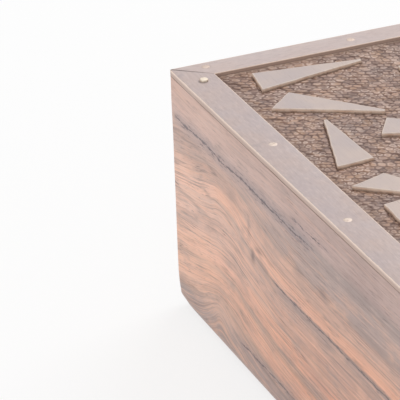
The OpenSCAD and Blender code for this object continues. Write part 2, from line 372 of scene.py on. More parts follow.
class Effect(Wiring):
    """A shader effect that several finishes share, as a node group."""

    def __init__(self, name: str, **inputs: Amount) -> None:
        """Starts the group.

        Args:
            name: The group's name.
            **inputs: Each input's name, with _ for a space, and its usual value.
        """
        super().__init__(bpy.data.node_groups.new(name, "ShaderNodeTree"))
        for label, value in inputs.items():
            kind = "NodeSocketVector" if isinstance(value, tuple) else "NodeSocketFloat"
            made = self.tree.interface.new_socket(name=label.replace("_", " "), in_out="INPUT", socket_type=kind)
            made.default_value = value
        group = self.tree.nodes.new("NodeGroupInput").outputs
        self.given = [(Place if isinstance(value, tuple) else Reading)(self, socket)
                      for value, socket in zip(inputs.values(), group)]

    def give(self, **masks: Reading) -> "Effect":
        """Ends the group with its results, by name.

        Args:
            **masks: The results.

        Returns:
            The effect itself.
        """
        for label in masks:
            self.tree.interface.new_socket(name=label, in_out="OUTPUT", socket_type="NodeSocketFloat")
        self.fill(self.tree.nodes.new("NodeGroupOutput").inputs, **masks)
        return self


def fibre_effect() -> Effect:
    """Streaks and fibres that run along X, and the short dark pores between them.

    Returns:
        The effect.
    """
    effect = Effect("wood_fibre", Place=ORIGIN, Seed=0.0)
    place, seed = effect.given
    shifted = place + effect.point(seed, 0.0, 0.0)
    return effect.give(Streak=(shifted * (0.012, 0.34, 0.34)).noise(detail=2.0).span(0.28, 0.72),
                       Fibre=(shifted * (0.05, 2.3, 2.3)).noise(detail=3.0).span(0.28, 0.72),
                       Pore=(shifted * (0.16, 3.1, 3.1)).noise(detail=1.0).span(0.62, 0.72))


def ragged_reach(width: Reading, ragged: Reading, cloud: Reading) -> Reading:
    """A wear line's width where it is made uneven by a cloud."""
    return width * (1.0 + ragged * ((cloud - 0.5) * 4.0))


def arris_effect() -> Effect:
    """Ragged wear along the edges of an upright block, which also carries a painted highlight.

    Returns:
        The effect.
    """
    effect = Effect("worn_arris", Place=ORIGIN, Low=ORIGIN, High=(1.0, 1.0, 1.0), Width=0.5, Ragged=0.5)
    place, low, high, width, ragged = effect.given
    x, y, z = abs(place - low).least(abs(place - high)).parts()
    middle = x.least(y).most(x.most(y).least(z))
    return effect.give(Mask=(middle / ragged_reach(width, ragged, place.noise(0.35, 4.0, 0.6))).span(1.0, 0.35))


def rim_effect() -> Effect:
    """Distance from a rectangle round the box's middle, above 0 outside it, and ragged wear along its line, which also
    carries a painted highlight.

    Returns:
        The effect.
    """
    effect = Effect("rim_wear", Place=ORIGIN, Half=(1.0, 1.0, 0.0), Width=0.5, Ragged=0.5)
    place, half, width, ragged = effect.given
    x, y, _ = (abs(place) - half).parts()
    distance = x.most(y)
    off = abs(distance) / ragged_reach(width, ragged, place.noise(0.5, 4.0, 0.65))
    return effect.give(Distance=distance, Worn=off.span(1.0, 0.4))


def stain_effect() -> Effect:
    """Broad cloudy unevenness of a handled surface, and small smudges.

    Returns:
        The effect.
    """
    effect = Effect("handling_stain", Place=ORIGIN, Seed=0.0)
    place, seed = effect.given
    shifted = place + effect.point(0.0, seed, 0.0)
    return effect.give(Cloud=shifted.noise(0.045, 4.0, 0.6).span(0.3, 0.7),
                       Smudge=shifted.noise(0.16, 2.0, 0.4).span(0.68, 0.8))


def crack_effect() -> Effect:
    """A ragged dark line along the grain, broken in places, with short slashes off it.

    Returns:
        The effect.
    """
    effect = Effect("grain_crack", Along=0.0, Across=0.0, Start=0.0, End=10.0, Level=0.0, Slope=0.0, Width=0.4)
    along, across, start, end, level, slope, width = effect.given
    run = along - start
    line = level + run * slope
    for stretch, sway in ((0.06, 2.6), (0.5, 0.9)):
        line += (effect.point(along * stretch, level, stretch).noise() - 0.5) * sway
    off = abs(across - line)
    breaks = effect.point(along * 0.3, 7.0, level).noise(1.0, 4.0, 0.75)
    body = (off / (width * breaks.span(0.4, 0.64, 0.1, 1.25))).span(1.0, 0.2)
    ends = (run * 0.25).clamped() * ((end - along) * 0.12).clamped()
    halo = (off / width).span(5.5, 0.5) * ends
    dashes = effect.point(along * 0.22, across * 1.5, 4.0).noise(roughness=0.65)
    return effect.give(Mask=body * ends, Halo=halo, Flecks=dashes.span(0.56, 0.68) * halo)


def ring_line_effect() -> Effect:
    """Thin lines that follow the growth rings, patchy along their length.

    Returns:
        The effect.
    """
    effect = Effect("ring_lines", Along=0.0, Ring=0.0, Depth=0.0, Pitch=0.3, Thin=0.03)
    along, ring, depth, pitch, thin = effect.given
    across = ring * pitch
    rings = effect.point(along * 0.011, across, depth * 0.08).noise(1.0, 1.5, 0.45)
    patchy = effect.point(along * 0.045, across * 0.9, 9.0).noise(roughness=0.6)
    return effect.give(Mask=(abs(rings - 0.5) / thin).span(1.0, 0.25) * patchy.span(0.38, 0.62))


def knot_effect() -> Effect:
    """A soft round bulge, 1 at its middle, that bends the rings or darkens a spot.

    Returns:
        The effect.
    """
    effect = Effect("round_spot", Along=0.0, Across=0.0, Middle_Along=0.0, Middle_Across=0.0, Long=5.0, Wide=5.0)
    along, across, middle_along, middle_across, long, wide = effect.given
    x, y = (along - middle_along) / long, (across - middle_across) / wide
    return effect.give(Mask=((x * x + y * y) * -1.0).step("EXPONENT"))


@dataclass(frozen=True)
class Effects:
    """Every shared shader effect, each built once."""

    fibre: Effect = field(default_factory=fibre_effect)
    arris: Effect = field(default_factory=arris_effect)
    rim: Effect = field(default_factory=rim_effect)
    stain: Effect = field(default_factory=stain_effect)
    crack: Effect = field(default_factory=crack_effect)
    ring_line: Effect = field(default_factory=ring_line_effect)
    knot: Effect = field(default_factory=knot_effect)


EFFECTS = Effects()


# --------------------------------------------------------------------------------------------------------------
# Finishes
# --------------------------------------------------------------------------------------------------------------


class Dressing(Wiring):
    """The wiring of one material: coats of colour laid over one another, for its Principled shader."""

    def __init__(self, name: str, roughness: float, metallic: float = 0.0) -> None:
        """Starts a material.

        Args:
            name: The material's name.
            roughness: The shader's plain roughness.
            metallic: 1 for metal.
        """
        self.material = bpy.data.materials.new(name)
        self.material.use_nodes = True
        super().__init__(self.material.node_tree)
        self.shader = self.tree.nodes["Principled BSDF"]
        self.fill(self.shader.inputs, Roughness=roughness, Metallic=metallic)
        here = self.node("TexCoord").outputs
        self.place = Place(self, here["Object"]) * (1 / MM, 1 / MM, 1 / MM)
        self.facing = Place(self, here["Normal"])

    def along_grain(self, run: Run, origin: Triple = ORIGIN) -> tuple[Reading, ...]:
        """The place read along the grain, across the board's face and through it, in millimetres from origin."""
        parts = (self.place - origin).parts()
        return tuple(parts[axis] for axis in run.value)

    def end_grain(self, run: Run) -> Reading:
        """A mask of the faces that are cut across the grain."""
        return abs(self.facing.parts()[run.value[0]]).span(0.75, 0.92)

    def fibres(self, run: Run, seed: float) -> dict[str, Reading]:
        """The streaks, fibres and pores of a plain board."""
        return self.shared(EFFECTS.fibre, Place=self.point(*self.along_grain(run)), Seed=seed)

    def stain(self, seed: float) -> dict[str, Reading]:
        """The unevenness and smudges of a handled surface."""
        return self.shared(EFFECTS.stain, Place=self.place, Seed=seed)

    def coat(self, amount: Amount, tone: Tone, how: str = "MIX") -> None:
        """Lays a tone over the colour so far, by an amount from 0 to 1."""
        self.colour = self.blend(amount, self.colour, tone, how)

    def finish(self, roughness: Reading | None, height: Reading, depth: float = 0.05) -> bpy.types.Material:
        """Joins the colour and the relief to the shader.

        Args:
            roughness: A roughness that changes over the surface, if any.
            height: A relief from 0 to 1.
            depth: The relief's depth in millimetres.

        Returns:
            The material.
        """
        bump = self.node("Bump")
        self.fill(bump.inputs, Distance=depth * MM, Height=height)
        self.fill(self.shader.inputs, Base_Color=self.colour, Normal=Reading(self, bump.outputs[0]))
        if roughness is not None:
            self.fill(self.shader.inputs, Roughness=roughness)
        return self.material


@dataclass(frozen=True)
class Crack:
    """A dark line in a board: its start and end along it, its level, slope and width, and the grey round it."""

    start: float
    end: float
    level: float
    slope: float = 0.0
    width: float = 0.5
    halo: float = 0.2


@dataclass(frozen=True)
class Knot:
    """A round spot in a board: its middle, its reach each way, how far it pushes the rings and how dark it is."""

    along: float
    across: float
    long: float
    wide: float
    push: float = 0.0
    dark: float = 0.0

    def spot(self, wire: Dressing, along: Reading, across: Reading) -> Reading:
        """The knot's mask on a board."""
        return wire.shared(EFFECTS.knot, Along=along, Across=across, Middle_Along=self.along,
                           Middle_Across=self.across, Long=self.long, Wide=self.wide)["Mask"]


@dataclass(frozen=True)
class RingLine:
    """A set of thin lines between the growth rings: how close and how thin they are, and their colour."""

    pitch: float
    thin: float
    strength: float
    shade: Shade


ROSEWOOD_BANDS: tuple[tuple[float, Shade], ...] = (
    (0.0, (190, 163, 154)), (9.0, (196, 168, 160)), (12.0, (191, 164, 157)), (13.5, (172, 152, 146)),
    (16.0, (170, 150, 144)), (17.5, (186, 162, 154)), (23.0, (182, 157, 149)), (26.0, (174, 151, 142)),
    (27.2, (202, 163, 146)), (30.0, (214, 171, 151)), (32.0, (204, 163, 144)), (34.0, (228, 174, 148)),
    (37.4, (236, 176, 146)), (38.0, (156, 128, 117)), (39.2, (178, 149, 137)), (43.0, (200, 160, 143)),
    (47.0, (205, 159, 139)), (51.5, (198, 154, 134)), (53.0, (222, 164, 136)), (57.0, (240, 171, 139)),
    (59.6, (214, 157, 130)), (60.4, (160, 128, 114)), (62.0, (184, 144, 124)), (64.0, (226, 166, 137)),
    (67.0, (218, 158, 132)), (70.6, (194, 146, 127)), (71.4, (136, 113, 104)), (73.0, (160, 138, 130)),
    (77.0, (170, 147, 141)), (84.0, (178, 154, 146)),
)
BAND_SPAN = ROSEWOOD_BANDS[-1][0]


@dataclass(frozen=True)
class Rosewood:
    """Oiled rosewood with orange and grey bands that swell round a cathedral, dark lines and knots.

    Distances are in millimetres: along the board from its left end, and down from the top of the box.
    """

    name: str
    run: Run
    origin: Triple
    rise: tuple[tuple[float, float], ...]
    cracks: tuple[Crack, ...]
    knots: tuple[Knot, ...] = ()
    shift: float = 0.0
    length: float = 2 * BOX.half_length
    pale_reach: float = 125.0
    rise_height: float = 24.0
    swell: tuple[tuple[float, float], ...] = (
        (0.0, 0.0), (0.12, 0.0), (0.2, 0.5), (0.34, 0.74), (0.46, 0.6), (0.6, 0.58), (0.73, 0.7), (1.0, 0.4))
    warps: tuple[tuple[Triple, float], ...] = (((0.016, 0.04, 0.03), 3.4), ((0.06, 0.16, 0.1), 0.7))
    lines: tuple[RingLine, ...] = (
        RingLine(0.1, 0.07, 0.42, (164, 142, 135)), RingLine(0.16, 0.022, 0.45, (142, 120, 112)),
        RingLine(0.42, 0.03, 0.38, (134, 112, 106)), RingLine(0.3, 0.03, 0.4, (238, 190, 162)))
    grey: Shade = (168, 148, 142)
    dirt: Shade = (112, 92, 90)
    crack_dark: Shade = (88, 76, 84)
    crack_halo: Shade = (152, 138, 142)
    # Worn arrises, paled further by a painted highlight.
    worn: Shade = (238, 202, 180)

    def rings(self, wire: Dressing, along: Reading, down: Reading, depth: Reading) -> tuple[Reading, Amount]:
        """The growth rings' level at each point, and the dark of the knots.

        Args:
            wire: The material's wiring.
            along: Millimetres along the board.
            down: Millimetres down from the top.
            depth: Millimetres into the board.

        Returns:
            The level in millimetres, and a mask.
        """
        rise = (wire.curve((along / self.length).clamped(), self.rise) - 0.5) * self.rise_height
        ring = down + rise * wire.curve((down / BOX.top).clamped(), self.swell) + depth * 0.4
        for stretch, sway in self.warps:
            ring += ((wire.point(along, down, depth) * stretch).noise(1.0, 1.5) - 0.5) * sway
        dark: Amount = 0.0
        for knot in self.knots:
            spot = knot.spot(wire, along, down)
            ring += spot * knot.push
            dark = (spot * knot.dark).most(dark)
        return ring, dark

    def fade(self, wire: Dressing, along: Reading, down: Reading) -> None:
        """Makes the board paler towards its ends, most in its lower half.

        Args:
            wire: The material's wiring.
            along: Millimetres along the board.
            down: Millimetres down from the top.
        """
        off_end = along.least(self.length - along)
        pale = off_end.span(self.pale_reach, 4.0) * down.span(22.0, 32.0, 0.42, 0.76) * down.span(75.0, 68.0, 0.1, 1.0)
        wire.coat(pale, wire.blend(down.span(42.0, 60.0), (250, 208, 188), (248, 200, 174)))

    def figure(self, wire: Dressing, place: tuple[Reading, Reading, Reading], ring: Reading) -> dict[str, Reading]:
        """Lays the blotches, streaks, ring lines and pores over the bands.

        Args:
            wire: The material's wiring.
            place: Millimetres along, down and into the board.
            ring: The growth rings' level.

        Returns:
            The fibre masks.
        """
        along, down, depth = place
        ringed = wire.point(along, ring, depth * 0.6)
        fibre = wire.shared(EFFECTS.fibre, Place=ringed, Seed=self.shift * 13.0)
        fine = (ringed * (0.03, 1.3, 0.5)).noise(1.0, 4.0, 0.65)
        blotch = wire.point(along * 0.06, down * 0.13, depth).noise(1.0, 4.0, 0.65)
        lower = down.span(11.0, 24.0)
        glow = wire.blend(lower, (212, 186, 177), (244, 190, 160))
        lively = 0.45 + lower * 0.55
        wire.coat(blotch.span(0.5, 0.7, 0.0, 0.4), self.grey)
        wire.coat(blotch.span(0.5, 0.3, 0.0, 0.4), glow)
        wire.coat(fine.span(0.54, 0.68, 0.0, 0.62) * lively, (146, 125, 118))
        wire.coat(fine.span(0.46, 0.34, 0.0, 0.6) * lively, glow)
        for line in self.lines:
            mask = wire.shared(EFFECTS.ring_line, Along=along, Ring=ring + line.pitch * 400.0, Depth=depth,
                               Pitch=line.pitch, Thin=line.thin)["Mask"]
            wire.coat(mask * line.strength * lively, line.shade)
        wire.coat(fibre["Fibre"] * 0.2, (150, 128, 120), "MULTIPLY")
        wire.coat(fibre["Pore"] * blotch.span(0.4, 0.65, 0.15, 0.7), self.dirt)
        return fibre

    def split(self, wire: Dressing, along: Reading, down: Reading) -> Amount:
        """Greys the wood round the cracks.

        Args:
            wire: The material's wiring.
            along: Millimetres along the board.
            down: Millimetres down from the top.

        Returns:
            The mask of the cracks themselves.
        """
        lines: Amount = 0.0
        for crack in self.cracks:
            made = wire.shared(EFFECTS.crack, Along=along, Across=down, Start=crack.start, End=crack.end,
                               Level=crack.level, Slope=crack.slope, Width=crack.width)
            wire.coat(made["Halo"] * crack.halo, self.crack_halo)
            lines = made["Mask"].most(made["Flecks"]).most(lines)
        return lines

    def material(self) -> bpy.types.Material:
        """Builds the material.

        Returns:
            The material.
        """
        wire = Dressing(self.name, roughness=0.42)
        along, upward, depth = wire.along_grain(self.run, self.origin)
        down = upward * -1.0
        ring, dark = self.rings(wire, along, down, depth)
        wire.colour = wire.ramp((ring + self.shift).step("PINGPONG", BAND_SPAN) / BAND_SPAN,
                                [(level / BAND_SPAN, shade) for level, shade in ROSEWOOD_BANDS])
        self.fade(wire, along, down)
        fibre = self.figure(wire, (along, down, depth), ring)
        pores = wire.place.noise(1.1, 2.0, 0.5).span(0.56, 0.66, 0.0, 0.7)
        cut = wire.blend(0.45, wire.colour, (152, 120, 106))
        wire.coat(wire.end_grain(self.run), wire.blend(pores, cut, (108, 84, 76)))
        lines = self.split(wire, along, down)
        wire.coat(dark * 0.75, self.dirt)
        wire.coat(lines * 0.8, self.crack_dark)
        arris = wire.shared(EFFECTS.arris, Place=wire.place, Low=(-BOX.half_length, -BOX.half_width, 0.0),
                            High=(BOX.half_length, BOX.half_width, 2 * BOX.top), Width=0.9, Ragged=0.6)["Mask"]
        # Pale worn arrises: wear, with a painted highlight on the edges.
        wire.coat(arris * 0.5, self.worn)
        relief = fibre["Fibre"] * 0.35 - fibre["Pore"] - lines * 2.0
        return wire.finish(0.38 + fibre["Streak"] * 0.12, relief)


@dataclass(frozen=True)
class SheenPaintedStrip:
    """The top strips' dense wood, waxed, its tone paled by a painted sheen, with pale worn arrises that carry a
    painted highlight, dirt in the mitres, painted shade on the sides, and painted shadows under the strip and round
    the release pin.
    """

    name: str
    run: Run
    seed: float
    # Base tones: the wood's own tone paled by a painted sheen on the waxed top.
    base: Shade = (184, 168, 168)
    warm: Shade = (194, 171, 162)
    # Worn arrises, paled further by a painted highlight.
    worn: Shade = (240, 217, 200)
    outside: Shade = (206, 184, 171)
    # Painted shade: the lower part of the strip's sides, and its inner sides.
    outside_low: Shade = (174, 146, 133)
    inside: Shade = (158, 132, 119)
    mitre_dark: Shade = (112, 94, 88)
    # Painted shadow line where the strip sits on the wall.
    under_dark: Shade = (120, 94, 82)
    # Painted shadow round the release pin, offset to one side.
    grime: Shade = (98, 84, 80)
    grime_reach: float = 1.75

    def joints(self, wire: Dressing) -> None:
        """Darkens the mitres, most at their outer ends, and paints a shadow line under the strip.

        Args:
            wire: The material's wiring.
        """
        x, y, height = abs(wire.place).parts()
        off_end, off_side = BOX.half_length - x, BOX.half_width - y
        skew = off_end * BOX.long_strip - off_side * BOX.end_strip
        off = abs(skew) / math.hypot(BOX.end_strip, BOX.long_strip)
        wire.coat(off.span(0.5, 0.14) * off_end.span(BOX.end_strip, 2.0, 0.1, 0.95), self.mitre_dark)
        # Painted shadow line along the strip's foot, where it sits on the wall.
        wire.coat(height.span(BOX.wall_top + 0.4, BOX.wall_top + 0.12) * 0.9, self.under_dark)

    def sides(self, wire: Dressing) -> None:
        """Wears the arrises pale, with a painted highlight, and tones the strip's sides below them, with painted shade
        on the inner sides and on the lower part of every side.

        Args:
            wire: The material's wiring.
        """
        inner, outer = (wire.shared(EFFECTS.rim, Place=wire.place, Half=(*half, 0.0), Width=width, Ragged=0.5)
                        for half, width in ((BOX.inner, 0.42), ((BOX.half_length, BOX.half_width), 0.36)))
        # Pale worn arrises, with a painted highlight.
        wire.coat(inner["Worn"] * 0.9, self.worn)
        wire.coat(outer["Worn"] * 0.9, self.worn)
        height = wire.place.parts()[2]
        # Side tones: painted shade on the inner sides and on the lower part of every side.
        side = wire.blend(outer["Distance"].span(-1.5, -1.0), self.inside, self.outside)
        side = wire.blend(height.span(BOX.top - 0.45, BOX.top - 0.85, 0.0, 0.85), side, self.outside_low)
        wire.coat(height.span(BOX.top - 0.15, BOX.top - 0.35) * 0.9, side)

    def material(self) -> bpy.types.Material:
        """Builds the material.

        Returns:
            The material.
        """
        wire = Dressing(self.name, roughness=0.4)
        along, across, depth = wire.along_grain(self.run)
        fibre, stain = wire.fibres(self.run, self.seed), wire.stain(self.seed * 7.0)
        # Painted sheen: the base tones are the wood's tone paled by the top's reflection.
        wire.colour = wire.blend(stain["Cloud"], self.base, self.warm)
        wire.coat(fibre["Streak"] * 0.3, (180, 162, 160))
        wire.coat(fibre["Fibre"] * 0.2, (206, 192, 190))
        wire.coat(fibre["Pore"] * 0.2, (146, 126, 120))
        speck = wire.point(along * 0.3, across, depth).noise(1.1, 4.0, 0.7)
        wire.coat(speck.span(0.5, 0.72, 0.0, 0.5), (170, 152, 150))
        wire.coat(speck.span(0.5, 0.3, 0.0, 0.4), (212, 192, 186))
        wire.coat(stain["Smudge"] * 0.35, (158, 146, 148))
        self.sides(wire)
        self.joints(wire)
        # Painted shadow of the proud release pin on the strip.
        pin_shadow_spot = Knot(PIN_PLACE[0] + 0.5, PIN_PLACE[1] - 0.5, self.grime_reach, self.grime_reach)
        wire.coat(pin_shadow_spot.spot(wire, *wire.place.parts()[:2]).span(0.3, 0.6, 0.0, 0.6), self.grime)
        return wire.finish(0.36 + stain["Cloud"] * 0.1, fibre["Fibre"] * 0.4 - fibre["Pore"], depth=0.02)


@dataclass(frozen=True)
class PunchedWood:
    """The lid's ground: each punch mark a tone of its own, dirt and painted shade in their outlines, painted shade in
    the hollows and painted highlights on the high points and ridges, ochre and grey patches, darker near the strips, a
    painted shadow at the wedges' feet and a painted highlight on the field's rim.
    """

    name: str = "punched_ground"
    tones: tuple[tuple[float, Shade], ...] = (
        (0.0, (118, 90, 80)), (0.35, (142, 112, 101)), (0.7, (164, 134, 122)), (1.0, (188, 158, 143)))
    # Dirt and painted shade in the marks' outlines.
    dirt: Shade = (92, 68, 60)

    def patches(self, wire: Dressing, tone: Reading, mottle: Reading) -> None:
        """Lays tan, ochre and grey patches over the marks.

        Args:
            wire: The material's wiring.
            tone: Each mark's own tone.
            mottle: A cloudy mask.
        """
        patch = wire.place.noise(0.07, 3.0, 0.6)
        ochre = (wire.place + (31.0, 57.0, 0.0)).noise(0.2, 3.0, 0.65)
        wire.coat(patch.span(0.46, 0.66) * tone.span(0.3, 0.8, 0.25, 0.6),
                  wire.blend(mottle, (160, 116, 90), (206, 158, 124)))
        wire.coat(patch.span(0.46, 0.34) * tone.span(0.8, 0.2, 0.1, 0.4), (152, 136, 131))
        wire.coat(ochre.span(0.47, 0.64, 0.0, 0.55), (178, 136, 104))
        wire.coat(ochre.span(0.44, 0.3, 0.0, 0.4), (146, 126, 122))

    def material(self) -> bpy.types.Material:
        """Builds the material.

        Returns:
            The material.
        """
        wire = Dressing(self.name, roughness=0.55)
        relief, tone, edge, gutter, crease, rim = (
            wire.attribute(name) for name in ("relief", "tone", "outline", "gutter", "crease", "rim"))
        mottle = wire.place.noise(0.9, 3.0, 0.6)
        wire.colour = wire.ramp((tone + (mottle - 0.5) * 0.5).clamped(), self.tones)
        self.patches(wire, tone, mottle)
        # Painted shade in the marks' hollows and a painted highlight on their high points.
        wire.coat(relief.span(0.5, 0.1, 0.0, 0.65), (100, 76, 68))
        wire.coat(relief.span(0.6, 0.9, 0.0, 0.4), (216, 190, 174))
        patchiness = wire.place.noise(0.16, 3.0, 0.6)
        # Painted highlight on the ridges just inside each mark's outline, in patches.
        ridge_highlight = edge.span(0.12, 0.26) * edge.span(0.6, 0.34)
        wire.coat(ridge_highlight * patchiness.span(0.56, 0.4, 0.1, 0.65), (222, 198, 184))
        # Dark outlines round the marks: dirt and painted shade in the grooves.
        wire.coat(edge.span(0.3, 0.05) * patchiness.span(0.4, 0.6, 0.25, 0.75), self.dirt)
        # Darker near the strips: dirt and painted shade.
        wire.coat(gutter * 0.42, (132, 106, 94))
        # Painted shadow at the foot of each wedge.
        wire.coat(crease * 0.8, (92, 68, 58))
        # Painted highlight on the field's raised rim.
        wire.coat(rim * 0.45, (206, 180, 160))
        return wire.finish(0.62 + relief * -0.16, wire.place.noise(3.2, 2.0), depth=0.08)


@dataclass(frozen=True)
class PolishedWedge:
    """The raised wedges: smooth pale tops whose tone carries a painted sheen, tan cut sides with a painted shadow
    darkening them towards the ground, and a painted highlight on the rounded arrises.
    """

    name: str = "polished_wedge"

    def material(self) -> bpy.types.Material:
        """Builds the material.

        Returns:
            The material.
        """
        wire = Dressing(self.name, roughness=0.42)
        fibre, stain = wire.shared(EFFECTS.fibre, Place=wire.place, Seed=17.0), wire.stain(11.0)
        # Top tones: the wood's tone paled by a painted sheen.
        wire.colour = wire.blend(stain["Cloud"], (187, 172, 170), (205, 185, 174))
        wire.coat(fibre["Streak"] * 0.3, (190, 172, 165))
        wire.coat(fibre["Pore"] * 0.25, (150, 128, 118))
        height = wire.place.parts()[2]
        # Painted shadow: the sides darken towards the ground.
        side = wire.blend(height.span(BOX.ground + 0.05, BOX.ground + 0.5), (104, 78, 66), (190, 152, 124))
        streaked = wire.blend(fibre["Fibre"] * 0.35, side, (216, 170, 138))
        wire.coat(height.span(BOX.wedge_top - 0.2, BOX.wedge_top - 0.4), streaked)
        # Painted highlight on the rounded arrises, broken in patches.
        edge = wire.attribute("edge") * wire.place.noise(0.5).span(0.3, 0.6, 0.4, 1.0)
        wire.coat(edge * 0.75, (226, 208, 192))
        return wire.finish(None, fibre["Fibre"], depth=0.02)


@dataclass(frozen=True)
class PlainWood:
    """Planed wood out of sight: the base, the batten, the dowels and the lid's board."""

    name: str
    run: Run
    light: Shade
    dark: Shade
    seed: float
    roughness: float = 0.55
    pore: Shade = (104, 80, 70)

    def material(self) -> bpy.types.Material:
        """Builds the material.

        Returns:
            The material.
        """
        wire = Dressing(self.name, roughness=self.roughness)
        fibre, stain = wire.fibres(self.run, self.seed), wire.stain(self.seed)
        wire.colour = wire.blend(fibre["Streak"], self.light, self.dark)
        wire.coat(fibre["Fibre"] * 0.3, self.light)
        wire.coat(fibre["Pore"] * 0.5, self.pore)
        wire.coat(stain["Cloud"] * 0.15, self.dark)
        return wire.finish(None, fibre["Fibre"] * 0.4 - fibre["Pore"])


@dataclass(frozen=True)
class Brass:
    """Brass that has been filed or turned, with a little tarnish."""

    name: str
    bright: Shade
    dull: Shade
    roughness: float
    scratch: float = 0.02

    def material(self) -> bpy.types.Material:
        """Builds the material.

        Returns:
            The material.
        """
        wire = Dressing(self.name, roughness=self.roughness, metallic=1.0)
        tarnish = wire.place.noise(0.9, 4.0, 0.6).span(0.42, 0.68)
        wire.colour = wire.blend(tarnish * 0.6, self.bright, self.dull)
        scratches = (wire.place * (1.2, 9.0, 3.0)).noise(detail=2.0)
        return wire.finish(self.roughness + tarnish * 0.16, scratches, depth=self.scratch)


Finishes = dict[str, bpy.types.Material]


def make_finishes() -> Finishes:
    """Builds every finish of the box once, and gives the materials by name.

    Returns:
        The materials.
    """
    left_end, front, top = -BOX.half_length, -BOX.half_width, BOX.top
    width = 2 * BOX.half_width
    recipes = (
        Rosewood(
            "rosewood_front", Run.X_UPRIGHT, (left_end, front, top),
            rise=((0.0, 0.45), (0.035, 0.58), (0.071, 0.72), (0.106, 0.87), (0.15, 0.97), (0.195, 0.84),
                  (0.25, 0.64), (0.33, 0.5), (0.5, 0.48), (0.72, 0.6), (1.0, 0.5)),
            cracks=(Crack(2, 110, 14.2, 0.004, 0.8, 0.4), Crack(90, 120, 10.6, 0.01, 0.35),
                    Crack(76, 176, 38.2, 0.002, 0.4), Crack(-3, 8, 37.6, 0.1, 0.6), Crack(50, 112, 71.6, 0.0, 0.45),
                    Crack(150, 236, 58.0, 0.01, 0.4)),
            knots=(Knot(34, 69, 9.0, 7.5, 3.6, 0.12), Knot(33, 65, 2.6, 2.2, dark=0.35),
                   Knot(138, 12, 15.0, 13.0, dark=0.18), Knot(62.6, 36.6, 1.5, 2.2, dark=1.0),
                   Knot(67, 33, 3.0, 0.9, dark=0.85), Knot(60, 28, 1.0, 3.0, dark=0.45),
                   Knot(113, 25.6, 4.4, 1.5, dark=0.75), Knot(50, 23, 6.0, 4.5, dark=0.22),
                   Knot(31, 41, 5.0, 3.5, dark=0.22), Knot(10, 21, 17.0, 5.0, dark=0.24),
                   Knot(208, 33, 8.0, 6.0, 7.0, 0.2))),
        Rosewood(
            "rosewood_back", Run.X_UPRIGHT, (left_end, -front, top), shift=21.0,
            rise=((0.0, 0.45), (0.3, 0.4), (0.55, 0.8), (0.75, 0.55), (1.0, 0.4)),
            cracks=(Crack(120, 214, 22.0, 0.01, 0.5), Crack(20, 66, 54.0, 0.0, 0.4)),
            knots=(Knot(96, 58, 8.0, 5.5, 7.0, 0.3),)),
        Rosewood(
            "rosewood_left", Run.Y_UPRIGHT, (left_end, front, top), shift=44.0, length=width, pale_reach=70.0,
            rise=((0.0, 0.5), (0.35, 0.66), (0.7, 0.4), (1.0, 0.55)), cracks=(Crack(30, 96, 30.0, 0.02, 0.45),)),
        Rosewood(
            "rosewood_right", Run.Y_UPRIGHT, (-left_end, front, top), shift=66.0, length=width, pale_reach=70.0,
            rise=((0.0, 0.42), (0.4, 0.72), (0.8, 0.45), (1.0, 0.5)), cracks=(Crack(84, 150, 44.0, -0.01, 0.45),),
            knots=(Knot(122, 30, 7.0, 5.0, 6.0, 0.25),)),
        # Strips whose tone carries a painted sheen.
        SheenPaintedStrip("greyed_strip_long", Run.X_FLAT, 3.0),
        SheenPaintedStrip("greyed_strip_short", Run.Y_FLAT, 19.0, base=(197, 179, 175), warm=(201, 179, 171)),
        PunchedWood(),
        PolishedWedge(),
        PlainWood("lid_board_wood", Run.X_FLAT, (196, 160, 140), (160, 128, 114), 2.0),
        PlainWood("base_wood", Run.X_FLAT, (200, 166, 146), (166, 136, 122), 8.0),
        PlainWood("batten_wood", Run.Y_FLAT, (186, 146, 126), (148, 116, 104), 23.0),
        PlainWood("dowel_wood", Run.Y_FLAT, (214, 186, 154), (190, 158, 126), 29.0),
        Brass("nail_brass", (211, 196, 185), (194, 177, 164), 0.55),
        Brass("dull_nail_brass", (203, 186, 175), (189, 171, 160), 0.55),
        Brass("handled_brass", (224, 212, 196), (204, 188, 170), 0.5),
        Brass("screw_brass", (222, 190, 130), (170, 138, 90), 0.28),
        Brass("bolt_brass", (226, 192, 128), (186, 150, 96), 0.2),
        Brass("spring_brass", (214, 180, 116), (160, 128, 84), 0.26),
    )
    return {recipe.name: recipe.material() for recipe in recipes}


# --------------------------------------------------------------------------------------------------------------
# Mesh tools
# --------------------------------------------------------------------------------------------------------------

MERGE = 0.002 * MM
CUT_SLACK = 1e-7
UP: Triple = (0.0, 0.0, 1.0)
FLAT_ANGLE = math.radians(0.4)
SHARP_ANGLE = math.radians(40)


def merged_mesh(node: str) -> bmesh.types.BMesh:
    """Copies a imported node's mesh and merges its doubled points.

    Args:
        node: The node.

    Returns:
        The copy.
    """
    mesh = bmesh.new()
    mesh.from_mesh(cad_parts[node].data)
    bmesh.ops.remove_doubles(mesh, verts=mesh.verts, dist=MERGE)
    return mesh


def copy_of(node: str) -> bmesh.types.BMesh:
    """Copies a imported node's mesh, with each flat side made one face.

    Args:
        node: The node.

    Returns:
        The copy.
    """
    mesh = merged_mesh(node)
    bmesh.ops.dissolve_limit(mesh, angle_limit=FLAT_ANGLE, verts=mesh.verts, edges=mesh.edges)
    return mesh


def round_over(mesh: bmesh.types.BMesh, edges: Iterable[bmesh.types.BMEdge], width: float, segments: int,
               held: bool = True) -> list[bmesh.types.BMVert]:
    """Rounds edges.

    Args:
        mesh: The mesh to change.
        edges: The edges.
        width: The rounding's width in metres.
        segments: How many steps it has.
        held: Whether it stops before it runs into its neighbour.

    Returns:
        The rounding's points.
    """
    return bmesh.ops.bevel(mesh, geom=list(edges), offset=width, offset_type="OFFSET", affect="EDGES",
                           segments=segments, profile=0.5, material=-1, clamp_overlap=held)["verts"]


